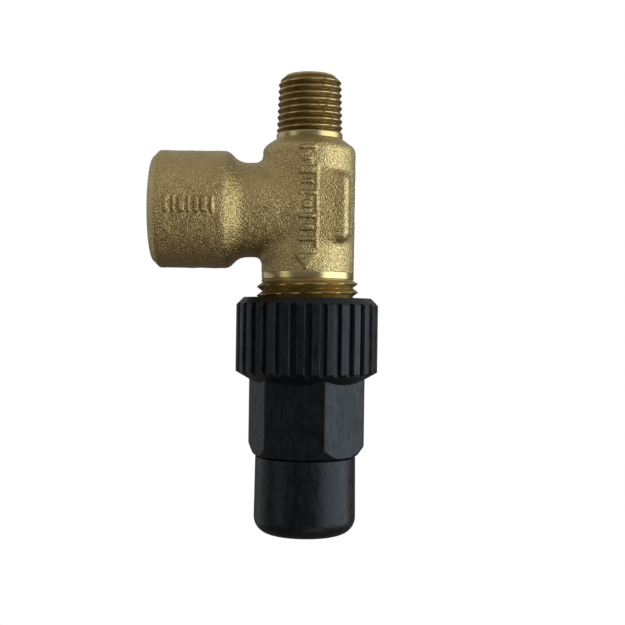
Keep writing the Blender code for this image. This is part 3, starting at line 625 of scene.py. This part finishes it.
# ---- Disc and seal ---------------------------------------------------------------------------------------
# A turned brass cup holds a rubber seal that closes on the inlet's lip. A washer and a slotted screw hold the
# seal from above, and the stem's tenon sits in the boss underneath.
SCREW_HOLE_R = 1.4
SEAL_R = 5.0
SEAL_TOP_Z = -20.5
SEAL_FLOOR_Z = -22.4
RIM_Z = -21.0
DISC_R = 6.2
DISC_BOTTOM_Z = -24.9
BOSS_R = 3.6
BOSS_Z = -28.4
TENON_HOLE_R = 2.3
SEAL_THICK = 1.6
WASHER_R = 3.0
WASHER_GAP = 0.3
WASHER_THICK = 0.5
SMALL_STEPS = 96


def turned_piece(name, section, corner, finish, body):
    """A turned piece that stands for the CAD node of the same name, from its section with rounded corners."""
    section = rounded(section, corner)
    made = turned_grid("fine_" + name, section[:, 0], section[:, 1], SMALL_STEPS, 40)
    made.data.materials.append(finish)
    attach(made, body)
    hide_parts(name)


def rubber_finish():
    """Black EPDM: matt, with the fine grain of its mould and pale bloom in patches."""
    finish = Finish("rubber", 0.0, 0.62, Specular_IOR_Level=0.35)
    bloom = finish.noise(420, 4.0, 0.65)
    finish.colour(finish.ramp(bloom, [(0.35, (0.011, 0.011, 0.012)), (0.75, (0.03, 0.03, 0.029))]))
    finish.roughness(finish.ramp(bloom, [(0.3, 0.55), (0.7, 0.72)]))
    finish.bump(finish.noise(5200, 2.0), 0.00002)
    return finish.material


def steel_finish(name, tone, roughness):
    """Steel with fine tool lines around the axis and slight colour changes from handling."""
    finish = Finish(name, 1.0, roughness)
    patch = finish.noise(520, 3.0, 0.6)
    finish.colour(finish.ramp(patch, [(0.3, tuple(np.array(tone) * 0.8)), (0.7, tone)]))
    finish.roughness(finish.ramp(patch, [(0.3, roughness * 0.8), (0.7, roughness * 1.3)]))
    finish.bump(finish.noise(9000, 2.0, 0.6, (0.01, 0.01, 1)), 0.00001)
    return finish.material


rubber = rubber_finish()
stainless = steel_finish("stainless_steel", (0.56, 0.555, 0.54), 0.26)
turned_piece("disc_holder", [
    (0, SEAL_FLOOR_Z), (SEAL_R + 0.3, SEAL_FLOOR_Z), (SEAL_R + 0.3, RIM_Z), (DISC_R, RIM_Z),
    (DISC_R, DISC_BOTTOM_Z + 0.9), (DISC_R - 0.9, DISC_BOTTOM_Z), (BOSS_R, DISC_BOTTOM_Z), (BOSS_R, BOSS_Z),
    (TENON_HOLE_R, BOSS_Z),
    (TENON_HOLE_R, BOSS_Z + 2.9), (0, BOSS_Z + 2.9),
], 0.12, turned_brass, "disc")
turned_piece("disc_seal", [
    (SCREW_HOLE_R, SEAL_TOP_Z - SEAL_THICK / 2), (SCREW_HOLE_R, SEAL_TOP_Z), (SEAL_R, SEAL_TOP_Z),
    (SEAL_R, SEAL_TOP_Z - SEAL_THICK), (SCREW_HOLE_R, SEAL_TOP_Z - SEAL_THICK),
], 0.15, rubber, "disc")
washer_low = SEAL_TOP_Z + WASHER_GAP
washer_high = washer_low + WASHER_THICK
turned_piece("seal_washer", [
    (SCREW_HOLE_R, washer_low + 0.2), (SCREW_HOLE_R, washer_high), (WASHER_R, washer_high),
    (WASHER_R, washer_low), (SCREW_HOLE_R, washer_low),
], 0.08, stainless, "disc")
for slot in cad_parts["seal_screw"].material_slots:
    slot.material = stainless


# ---- Stem ------------------------------------------------------------------------------------------------
# A ground stainless rod through the bush, the spring and the knob, with a groove for the clip that carries
# the spring's collar and a chamfered tail for the lift nut.
STEM_R = 2.5
TENON_R = 2.0
CLIP_GROOVE_DEPTH = 0.6
CLIP_TOP_Z = -42.1
TAIL_Z = -86.1
turned_piece("stem", [
    (0, BOSS_Z + 2.6), (TENON_R, BOSS_Z + 2.6), (TENON_R, BOSS_Z - 0.3), (STEM_R, BOSS_Z - 0.3),
    (STEM_R, CLIP_TOP_Z + 0.3), (STEM_R - CLIP_GROOVE_DEPTH, CLIP_TOP_Z + 0.3),
    (STEM_R - CLIP_GROOVE_DEPTH, CLIP_TOP_Z - 1.0), (STEM_R, CLIP_TOP_Z - 1.0),
    (STEM_R, TAIL_Z + 0.4), (STEM_R - 0.4, TAIL_Z), (0, TAIL_Z),
], 0.08, stainless, "disc")


# ---- Guide bush ------------------------------------------------------------------------------------------
# A brass bush guides the stem below the outlet, sealed inside and outside by O-rings, and held up against its
# shoulder by a circlip of spring steel.
BUSH_R = 7.3
BUSH_TOP_Z = -34.7
BUSH_BOTTOM_Z = -40.6
BUSH_GROOVE_HALF = 0.85
BUSH_MIDDLE_Z = (BUSH_TOP_Z + BUSH_BOTTOM_Z) / 2
STEM_HOLE_R = 2.8
INNER_GROOVE_R = 4.0
OUTER_GROOVE_R = 6.1
BUSH_RING_WIRE_R = 0.6
RING_SIDES = 20


def ring_section(centre_r, wire_r, z):
    """A round ring's section: a circle of the wire's radius, clockwise from its inner side."""
    angle = math.pi - np.linspace(0, 2 * math.pi, RING_SIDES, endpoint=False)
    return np.stack([centre_r + wire_r * np.cos(angle), z + wire_r * np.sin(angle)], 1)


groove_low = BUSH_MIDDLE_Z - BUSH_GROOVE_HALF
groove_high = BUSH_MIDDLE_Z + BUSH_GROOVE_HALF
turned_piece("guide_bush", [
    (STEM_HOLE_R, BUSH_BOTTOM_Z + 0.5), (STEM_HOLE_R, groove_low), (INNER_GROOVE_R, groove_low),
    (INNER_GROOVE_R, groove_high), (STEM_HOLE_R, groove_high), (STEM_HOLE_R, BUSH_TOP_Z - 0.3),
    (STEM_HOLE_R + 0.3, BUSH_TOP_Z), (BUSH_R - 0.3, BUSH_TOP_Z), (BUSH_R, BUSH_TOP_Z - 0.3),
    (BUSH_R, groove_high), (OUTER_GROOVE_R, groove_high), (OUTER_GROOVE_R, groove_low), (BUSH_R, groove_low),
    (BUSH_R, BUSH_BOTTOM_Z), (STEM_HOLE_R, BUSH_BOTTOM_Z),
], 0.06, turned_brass, "valve")
turned_piece("stem_o_ring", ring_section(3.25, BUSH_RING_WIRE_R, BUSH_MIDDLE_Z), 0, rubber, "valve")
turned_piece("bush_o_ring", ring_section(6.85, BUSH_RING_WIRE_R, BUSH_MIDDLE_Z), 0, rubber, "valve")
spring_steel = steel_finish("spring_steel", (0.36, 0.36, 0.37), 0.3)
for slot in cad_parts["bush_circlip"].material_slots:
    slot.material = spring_steel


# ---- Spring ----------------------------------------------------------------------------------------------
# The spring presses the stem's collar up and the follower down. The collar hangs on a clip in the stem's
# groove, and the follower turns on a thrust washer in the knob's end wall, so the knob sets the load.
WIRE_R = 0.7
COIL_R = 5.6
SPRING_TOP_Z = -45.0
SPRING_BOTTOM_Z = -70.8
ACTIVE_TURNS = 5.5
END_TURNS = 1.0
END_PITCH = 1.65
POINTS_PER_TURN = 48
WIRE_SIDES = 14
COLLAR_PLATE_TOP_Z = -43.1
COLLAR_PLATE_BOTTOM_Z = -44.7
FOLLOWER_TOP_Z = -71.1
THRUST_TOP_Z = -73.4


def spring_path():
    """Points along the wire, and the angle at each. The wire winds at a close pitch in its end turns and at a
    wide one between them; the pitch changes over one turn as a smoothstep, and its sum is the height."""
    turns = ACTIVE_TURNS + 2 * END_TURNS
    t = np.linspace(0, turns, int(turns * POINTS_PER_TURN) + 1)
    opened = np.clip((np.minimum(t, turns - t) - END_TURNS) / END_TURNS, 0, 1)
    opened = opened * opened * (3 - 2 * opened)
    step = t[1]
    middle = (opened[1:] + opened[:-1]) / 2
    height = SPRING_TOP_Z - SPRING_BOTTOM_Z - 2 * WIRE_R
    extra = (height - END_PITCH * turns) / (middle.sum() * step)
    down = np.concatenate([[0], np.cumsum((END_PITCH + extra * middle) * step)])
    angle = 2 * math.pi * t
    z = SPRING_TOP_Z - WIRE_R - down
    return np.stack([COIL_R * np.cos(angle), COIL_R * np.sin(angle), z], 1), angle


def wire_along(path, angle, wire_r, sides):
    """A round wire along a coil: a circle at each point, in the plane of the coil's radius and the normal to
    the wire and that radius, narrowed to a point at both ends."""
    outward = np.stack([np.cos(angle), np.sin(angle), 0 * angle], 1)
    along = np.gradient(path, axis=0)
    along /= np.linalg.norm(along, axis=1, keepdims=True)
    normal = np.cross(along, outward)
    path = np.concatenate([path[:1], path[:1], path, path[-1:], path[-1:]])
    outward = np.pad(outward, ((2, 2), (0, 0)), "edge")
    normal = np.pad(normal, ((2, 2), (0, 0)), "edge")
    size = np.full(len(path), wire_r)
    size[[0, -1]] = 0
    size[[1, -2]] = wire_r * 0.8
    around = np.linspace(0, 2 * math.pi, sides, endpoint=False)
    circle = np.cos(around)[None, :, None] * outward[:, None]
    circle = circle + np.sin(around)[None, :, None] * normal[:, None]
    points = path[:, None] + size[:, None, None] * circle
    i, j = np.meshgrid(np.arange(len(path) - 1), np.arange(sides), indexing="ij")
    after = (j + 1) % sides
    faces = np.stack([i * sides + j, (i + 1) * sides + j, (i + 1) * sides + after, i * sides + after], -1)
    return points.reshape(-1, 3), faces.reshape(-1, 4)[:, ::-1]


turned_piece("spring_collar", [
    (STEM_HOLE_R, COLLAR_PLATE_TOP_Z - 0.9), (STEM_HOLE_R, COLLAR_PLATE_TOP_Z),
    (COIL_R + WIRE_R, COLLAR_PLATE_TOP_Z), (COIL_R + WIRE_R, COLLAR_PLATE_BOTTOM_Z),
    (STEM_HOLE_R, COLLAR_PLATE_BOTTOM_Z),
], 0.2, turned_brass, "disc")
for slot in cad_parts["collar_clip"].material_slots:
    slot.material = spring_steel
spring_points, spring_faces = wire_along(*spring_path(), WIRE_R, WIRE_SIDES)
coil = mesh_piece("fine_spring", spring_points, spring_faces)
close_poles(coil)
coil.data.materials.append(spring_steel)
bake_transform(coil)
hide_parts("spring")
turned_piece("spring_follower", [
    (STEM_HOLE_R, FOLLOWER_TOP_Z), (STEM_HOLE_R, FOLLOWER_TOP_Z + 2.5), (4.1, FOLLOWER_TOP_Z + 2.5),
    (4.6, FOLLOWER_TOP_Z + 2.0), (4.6, FOLLOWER_TOP_Z), (7.9, FOLLOWER_TOP_Z), (7.9, FOLLOWER_TOP_Z - 2.0),
    (STEM_HOLE_R, FOLLOWER_TOP_Z - 2.0),
], 0.15, turned_brass, "follower")
turned_piece("thrust_washer", [
    (STEM_HOLE_R, THRUST_TOP_Z - 0.6), (STEM_HOLE_R, THRUST_TOP_Z), (6.3, THRUST_TOP_Z),
    (6.3, THRUST_TOP_Z - 1.2),
    (STEM_HOLE_R, THRUST_TOP_Z - 1.2),
], 0.12, stainless, "follower")


# ---- Setting knob ----------------------------------------------------------------------------------------
# One black glass-filled moulding: a ring with thirty grip ribs between two cones, then a hexagon for a
# spanner with chamfered lower corners, and the spigot that the end cap pushes onto.
knob_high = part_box("setting_knob")[1]
KNOB_Z = knob_high[Z] / MM
KNOB_R = 14.6475
KNURL_DEPTH = 1.0
KNURL_RIBS = 30
KNURL_TURN = math.radians(1.3)
KNURL_COLLAR = 1.25
KNOB_CHAMFER = 1.55
KNURL_END_Z = -60.8
HEX_R = 10.6
HEX_TURN = math.radians(-12)
KNOB_END_Z = -77.9
HEX_CORNER_CHAMFER = 2.3
MOUTH_R = 11.1
INSERT_Z = KNOB_Z - 0.6
POCKET_R = 12.3
POCKET_END_Z = -51.8
WIDE_BORE_R = 11.9
WIDE_BORE_END_Z = -60.0
SPRING_ROOM_R = 8.2
SPIGOT_R = 8.5
SPIGOT_BORE_R = 7.0
SPIGOT_END_Z = -81.2
RING_GROOVE_R = 7.95
RING_GROOVE_TOP_Z = -79.15
RING_GROOVE_END_Z = -80.25
END_WALL = 3.0
RIB_SAMPLES = 16
HEX_STEPS = 360


def rib_radius(angle, z):
    """Ribs around the ring: flat tops 0.6 of the pitch wide, with steep flanks and flat bottoms between them.
    The grooves stop at a step below the ring's upper cone."""
    phase = np.abs(np.mod((angle - KNURL_TURN) / (2 * math.pi) * KNURL_RIBS + 0.5, 1.0) - 0.5)
    flank = np.clip((phase - 0.265) / 0.07, 0, 1)
    cut = np.clip((KNOB_Z - KNURL_COLLAR - z) / 0.15, 0, 1)
    return KNOB_R - KNURL_DEPTH * cut * flank * flank * (3 - 2 * flank)


def rib_edge_paling(angle, z):
    """How much paler the ribs' edges are coloured: a narrow bell around each edge, broken up along its length
    by waves.
    """
    phase = np.abs(np.mod((angle - KNURL_TURN) / (2 * math.pi) * KNURL_RIBS + 0.5, 1.0) - 0.5)
    broken = 0.6 + 0.4 * np.sin(z * 2.9 + angle * 37) * np.sin(z * 1.3 + angle * 11)
    return np.exp(-((phase - 0.262) / 0.03) ** 2) * broken * (z < KNOB_Z - KNURL_COLLAR) * (z > KNURL_END_Z)


def hexagon_radius(angle, flat_r, turn, round_share):
    """A hexagon's radius in a direction, turned from +X, with corners cut back by a share and softened."""
    facing = np.mod(angle - turn, math.pi / 3) - math.pi / 6
    sharp = flat_r / np.cos(facing)
    corner = flat_r / math.cos(math.pi / 6) * (1 - round_share)
    return smooth_min(sharp, corner, 0.08)


def black_plastic_finish(name, tone, roughness, grain):
    """Glass-filled moulded plastic: near black, with a fine grain, faint flow marks and dusty scuffs, and
    paler in colour where the mesh's edge value says so."""
    finish = Finish(name, 0.0, roughness, Specular_IOR_Level=0.21, Specular_Tint=(0.95, 1.0, 1.07, 1.0))
    cloud = finish.noise(170, 4.0, 0.65)
    scuff = finish.noise(900, 4.0, 0.7, (1, 1, 0.35))
    base = finish.ramp(cloud, [(0.3, tuple(np.array(tone) * 0.75)), (0.7, tuple(np.array(tone) * 1.3))])
    worn = finish.ramp(scuff, [(0.45, tone), (0.8, tuple(np.array(tone) * 4.5))])
    # Paler colour along the edges that the mesh marks.
    paler_edges = finish.ramp(finish.attribute("edge_paling"), [(0.0, (0.0, 0.0, 0.0)), (1.0, (0.05, 0.053, 0.057))])
    finish.colour(finish.mix(finish.mix(base, worn, 0.45), paler_edges, 1.0, "ADD"))
    finish.roughness(finish.ramp(scuff, [(0.3, roughness * 0.65), (0.7, min(1.0, roughness * 1.6))]))
    finish.bump(finish.noise(3800, 3.0, 0.6), grain)
    finish.bump(finish.noise(700, 3.0, 0.6), grain * 3.5)
    return finish.material


knob_plastic = black_plastic_finish("knob_plastic", (0.0042, 0.0046, 0.0054), 0.36, 0.00002)

rib_steps = KNURL_RIBS * RIB_SAMPLES
rib_angle = np.linspace(0, 2 * math.pi, rib_steps, endpoint=False)
ring_rows = np.concatenate([
    np.linspace(KNOB_Z, KNOB_Z - KNOB_CHAMFER - 1.2, 26),
    np.linspace(KNOB_Z - KNOB_CHAMFER - 1.3, KNURL_END_Z + 1.3, 8),
    np.linspace(KNURL_END_Z + 1.2, KNURL_END_Z - 2.6, 32),
])[:, None]
upper_cone = KNOB_R - KNOB_CHAMFER + (KNOB_Z - ring_rows) * 1.0
lower_cone = KNOB_R + 0.02 - np.clip(KNURL_END_Z - ring_rows, 0, None) / math.tan(math.radians(30))
lower_cone = np.minimum(lower_cone, KNOB_R)
ring_r = smooth_min(smooth_min(rib_radius(rib_angle[None, :], ring_rows), upper_cone, 0.2), lower_cone, 0.25)
mouth = rounded([(WIDE_BORE_R, WIDE_BORE_END_Z), (WIDE_BORE_R, POCKET_END_Z), (POCKET_R, POCKET_END_Z),
                 (POCKET_R, INSERT_Z), (MOUTH_R, INSERT_Z), (MOUTH_R, KNOB_Z - 0.2), (MOUTH_R + 0.2, KNOB_Z),
                 (KNOB_R - KNOB_CHAMFER - 0.3, KNOB_Z)], 0.15)
rows_r = np.concatenate([np.repeat(mouth[:, :1], rib_steps, 1), ring_r])
rows_z = np.concatenate([np.broadcast_to(mouth[:, 1:], (len(mouth), rib_steps)), ring_rows + 0 * ring_r])
edge_paling = np.pad(rib_edge_paling(rib_angle[None, :], ring_rows), ((len(mouth), 0), (0, 0)))
knob_ring = turned_grid("knob_ring", rows_r, rows_z, rib_steps, 40, edge_paling=edge_paling)
knob_ring.data.materials.append(knob_plastic)

hex_angle = np.linspace(0, 2 * math.pi, HEX_STEPS, endpoint=False)
hex_rows = np.concatenate([
    np.linspace(KNURL_END_Z + 0.2, KNOB_END_Z + HEX_CORNER_CHAMFER + 0.6, 20),
    np.linspace(KNOB_END_Z + HEX_CORNER_CHAMFER + 0.5, KNOB_END_Z + 0.15, 26),
])[:, None]
corner_cone = HEX_R + 0.1 + (hex_rows - KNOB_END_Z) * (1.65 / HEX_CORNER_CHAMFER)
hex_flats = hexagon_radius(hex_angle, HEX_R, HEX_TURN, 0.004)[None, :] + 0 * hex_rows
hex_r = smooth_min(hex_flats, corner_cone, 0.12)
spigot = rounded([(HEX_R - 0.05, KNOB_END_Z), (SPIGOT_R, KNOB_END_Z), (SPIGOT_R, RING_GROOVE_TOP_Z),
                  (RING_GROOVE_R, RING_GROOVE_TOP_Z),
                  (RING_GROOVE_R, RING_GROOVE_END_Z), (SPIGOT_R, RING_GROOVE_END_Z),
                  (SPIGOT_R, SPIGOT_END_Z + 0.3),
                  (SPIGOT_R - 0.3, SPIGOT_END_Z), (SPIGOT_BORE_R, SPIGOT_END_Z), (SPIGOT_BORE_R, KNOB_END_Z),
                  (STEM_HOLE_R, KNOB_END_Z), (STEM_HOLE_R, KNOB_END_Z + END_WALL),
                  (SPRING_ROOM_R, KNOB_END_Z + END_WALL),
                  (SPRING_ROOM_R, WIDE_BORE_END_Z), (WIDE_BORE_R - 0.4, WIDE_BORE_END_Z)], 0.12)
rows_r = np.concatenate([hex_r, np.repeat(spigot[:, :1], HEX_STEPS, 1)])
rows_z = np.concatenate([hex_rows + 0 * hex_r, np.broadcast_to(spigot[:, 1:], (len(spigot), HEX_STEPS))])
knob_hexagon = turned_grid("knob_hexagon", rows_r, rows_z, HEX_STEPS, 40)
knob_hexagon.data.materials.append(knob_plastic)
for part in (knob_ring, knob_hexagon):
    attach(part, "knob")
    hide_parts("setting_knob")


# ---- Knob rings and nuts ---------------------------------------------------------------------------------
# A brass ring with the knob's own thread is pressed into it. A steel wire ring in the body's groove stops the
# knob at its end, an O-ring on the spigot holds the cap, and two steel nuts sit on the stem's tail.
INSERT_TOP_Z = -46.6
INSERT_BOTTOM_Z = -51.5
INSERT_R = 12.0
INSERT_FIT = 0.17
STOP_WIRE_R = 0.7
LIFT_NUT_Z = -81.4
LOCK_NUT_Z = -84.3
NUT_HALF_FLATS = 4.0
NUT_STEPS = 120


def insert_rows():
    """The insert's section: up its threaded bore, which follows the body's thread at a small distance, and
    down its plain outside."""
    z = np.linspace(INSERT_BOTTOM_Z + 0.25, INSERT_TOP_Z - 0.25, 44)
    cut = helical_thread(z[:, None], lower_turn[None, :] + 0.5, KNOB_PITCH, 1.0)
    bore = KNOB_THREAD_R - KNOB_THREAD_DEPTH * cut + INSERT_FIT
    outside = rounded([(10.9, INSERT_TOP_Z), (INSERT_R, INSERT_TOP_Z), (INSERT_R, INSERT_BOTTOM_Z),
                       (10.9, INSERT_BOTTOM_Z)], 0.15)
    radius = np.concatenate([bore, np.repeat(outside[:, :1], LOWER_STEPS, 1)])
    return radius, np.concatenate([z, outside[:, 1]]), np.pad(cut, ((0, len(outside)), (0, 0)))


def hex_nut(name, top_z, thick, turn):
    """A hexagon nut: its outline is the smaller of the hexagon and two cones that chamfer its corners."""
    angle = np.linspace(0, 2 * math.pi, NUT_STEPS, endpoint=False)
    z = np.concatenate([[top_z], top_z - np.linspace(0, thick, 18), [top_z - thick]])[:, None]
    edge = np.minimum(top_z - z, z - (top_z - thick))
    flats = hexagon_radius(angle, NUT_HALF_FLATS, turn, 0.01)[None, :]
    side = np.minimum(flats, NUT_HALF_FLATS - 0.1 + edge * 1.9)
    side[[0, -1]] = STEM_HOLE_R + 0.25
    bore_z = np.array([top_z - thick + 0.2, top_z - 0.2])
    radius = np.concatenate([np.full((2, NUT_STEPS), STEM_HOLE_R), side])
    made = turned_grid("fine_" + name, radius, np.concatenate([bore_z, z[:, 0]]), NUT_STEPS, 30)
    made.data.materials.append(stainless)
    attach(made, "disc")
    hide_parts(name)


# The insert's groove depth gives its thread painted root shade as well.
insert_r, insert_z, insert_groove = insert_rows()
thread_insert = turned_grid("fine_thread_insert", insert_r, insert_z, LOWER_STEPS, 50, insert_groove)
thread_insert.data.materials.append(turned_brass)
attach(thread_insert, "knob")
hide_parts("thread_insert")
stop_section = ring_section(CORE_R + 1.0, STOP_WIRE_R, STOP_GROOVE_Z - 0.95)
turned_piece("stop_ring", stop_section, 0, spring_steel, "valve")
cap_ring_section = ring_section(8.35, 0.4, (RING_GROOVE_TOP_Z + RING_GROOVE_END_Z) / 2)
turned_piece("cap_o_ring", cap_ring_section, 0, rubber, "knob")
hex_nut("lift_nut", LIFT_NUT_Z, 2.6, 0)
hex_nut("lock_nut", LOCK_NUT_Z, 1.1, math.radians(20))


# ---- End cap ---------------------------------------------------------------------------------------------
# A thin black cap pushes over the spigot's O-ring and hides the stem's tail. It is smoother than the knob,
# a little wider at its closed end, which has a large rounded edge and a small gate mark in its middle.
CAP_R = 10.3
CAP_LOW_R = 10.45
CAP_EDGE_R = 3.4
CAP_BORE_R = 8.9
CAP_Z = KNOB_END_Z - 0.3
CAP_FLOOR_Z = -92.0
CAP_END_Z = -94.0
CAP_STEPS = 160


def cap_profile():
    """The cap's section: its floor inside, bore, rim, drafted side, quarter-circle edge, and gate mark."""
    edge = np.radians(np.linspace(0, -90, 14))
    edge_r = CAP_LOW_R - CAP_EDGE_R + CAP_EDGE_R * np.cos(edge)
    edge_z = CAP_END_Z + CAP_EDGE_R + CAP_EDGE_R * np.sin(edge)
    inside = rounded([(0, CAP_FLOOR_Z), (CAP_BORE_R, CAP_FLOOR_Z), (CAP_BORE_R, CAP_Z - 0.3),
                      (CAP_BORE_R + 0.3, CAP_Z), (CAP_R, CAP_Z), (CAP_R + 0.01, CAP_Z - 0.8)], 0.25)
    side = np.stack([np.linspace(CAP_R + 0.01, CAP_LOW_R, 12)[1:-1],
                     np.linspace(CAP_Z - 0.8, CAP_END_Z + CAP_EDGE_R, 12)[1:-1]], 1)
    gate = [(1.1, CAP_END_Z), (1.0, CAP_END_Z + 0.12), (0.0, CAP_END_Z + 0.12)]
    return np.concatenate([inside, side, np.stack([edge_r, edge_z], 1), gate])


cap_section = cap_profile()
cap = turned_grid("push_on_cap", cap_section[:, 0], cap_section[:, 1], CAP_STEPS, 40)
cap.data.materials.append(black_plastic_finish("cap_plastic", (0.0044, 0.0047, 0.005), 0.3, 0.00003))
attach(cap, "cap")
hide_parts("end_cap")


# ---- Studio ----------------------------------------------------------------------------------------------
# A white sweep that gives the object no light of its own, one large soft light from the right, narrower ones
# from the left and from behind it, a weak one from low in front, and a pale ceiling.
BACKGROUND = 1.0
CAP_TRAVEL_ROOM = 0.02


def studio_world():
    """White where the camera looks past the object. What the object reflects is a pale ceiling that fades
    into dim walls and a darker, warmer floor."""
    world = bpy.data.worlds.new("studio")
    world.use_nodes = True
    nodes, links = world.node_tree.nodes, world.node_tree.links
    seen = nodes["Background"]
    seen.inputs["Color"].default_value = (1, 1, 1, 1)
    seen.inputs["Strength"].default_value = BACKGROUND
    split = nodes.new("ShaderNodeSeparateXYZ")
    links.new(nodes.new("ShaderNodeTexCoord").outputs["Generated"], split.inputs["Vector"])
    upright = nodes.new("ShaderNodeMapRange")
    upright.inputs["From Min"].default_value = -1
    links.new(split.outputs["Z"], upright.inputs["Value"])
    room = nodes.new("ShaderNodeValToRGB")
    stops = [(0.0, (0.14, 0.125, 0.11)), (0.45, (0.12, 0.11, 0.105)), (0.62, (0.3, 0.3, 0.3)),
             (0.8, (0.52, 0.51, 0.5))]
    while len(room.color_ramp.elements) < len(stops):
        room.color_ramp.elements.new(0.5)
    for element, (at, colour) in zip(room.color_ramp.elements, stops):
        element.position = at
        element.color = (*colour, 1)
    links.new(upright.outputs["Result"], room.inputs["Fac"])
    dim = nodes.new("ShaderNodeBackground")
    links.new(room.outputs["Color"], dim.inputs["Color"])
    path = nodes.new("ShaderNodeLightPath")
    either = nodes.new("ShaderNodeMixShader")
    links.new(path.outputs["Is Camera Ray"], either.inputs["Fac"])
    links.new(dim.outputs["Background"], either.inputs[1])
    links.new(seen.outputs["Background"], either.inputs[2])
    links.new(either.outputs["Shader"], nodes["World Output"].inputs["Surface"])
    bpy.context.scene.world = world


def soft_light(name, azimuth, elevation, distance, width, height, radiance, colour):
    """A rectangular light that faces the valve. Azimuth is from the camera's side towards the right."""
    centre = Vector((0, 0, -0.045))
    a, e = math.radians(azimuth), math.radians(elevation)
    way = Vector((math.sin(a) * math.cos(e), -math.cos(a) * math.cos(e), math.sin(e)))
    data = bpy.data.lights.new(name, "AREA")
    data.shape = "RECTANGLE"
    data.size, data.size_y = width, height
    data.energy = radiance * math.pi * width * height
    data.color = colour
    lamp = bpy.data.objects.new(name, data)
    lamp.location = centre + way * distance
    lamp.rotation_euler = (-way).to_track_quat("-Z", "Y").to_euler()
    bpy.context.scene.collection.objects.link(lamp)


def white_floor():
    """A plain white floor that neither lights the valve nor shows in its reflections."""
    size = 4.0
    z = cad_box[0][Z] - CAP_TRAVEL_ROOM
    mesh = bpy.data.meshes.new("floor")
    corners = [(-size, -size, z), (size, -size, z), (size, size, z), (-size, size, z)]
    mesh.from_pydata(corners, [], [(0, 1, 2, 3)])
    floor = bpy.data.objects.new("floor", mesh)
    bpy.context.scene.collection.objects.link(floor)
    paint = bpy.data.materials.new("floor_white")
    paint.use_nodes = True
    shader = paint.node_tree.nodes["Principled BSDF"]
    shader.inputs["Base Color"].default_value = (0, 0, 0, 1)
    shader.inputs["Specular IOR Level"].default_value = 0
    shader.inputs["Emission Color"].default_value = (1, 1, 1, 1)
    shader.inputs["Emission Strength"].default_value = BACKGROUND
    mesh.materials.append(paint)
    floor.visible_diffuse = floor.visible_glossy = floor.visible_transmission = False
    floor.visible_shadow = False


studio_world()
white_floor()
soft_light("key", 75, 2, 0.5, 0.76, 0.6, 2.6, (0.86, 0.97, 1.06))
soft_light("left", -58, 4, 0.5, 0.2, 0.6, 0.8, (0.95, 1.0, 1.04))
soft_light("left_rear", -118, 0, 0.6, 0.5, 0.7, 0.45, (0.97, 1.0, 1.03))
soft_light("low_front", 30, -48, 0.5, 0.3, 0.22, 1.15, (1.0, 0.97, 0.92))


# ---- Camera ----------------------------------------------------------------------------------------------
# A level camera in front of the valve, near enough for some perspective and rolled by just under a degree.
# It looks along +Y, and the picture's centre is a little to the right of the valve's axis.
CAMERA_PLACE = (0.0011, -0.227, -0.0487)
CAMERA_ROLL = math.radians(0.8)
camera_data = bpy.data.cameras.new("camera")
camera_data.sensor_width = 36.0
camera_data.lens = 63.4
camera_data.clip_start, camera_data.clip_end = 0.01, 20
camera = bpy.data.objects.new("camera", camera_data)
camera.matrix_world = (
    Matrix.Translation(CAMERA_PLACE)
    @ Matrix.Rotation(math.pi / 2, 4, "X")
    @ Matrix.Rotation(CAMERA_ROLL, 4, "Z")
)
bpy.context.scene.collection.objects.link(camera)
bpy.context.scene.camera = camera
bpy.context.scene.view_settings.view_transform = "Standard"
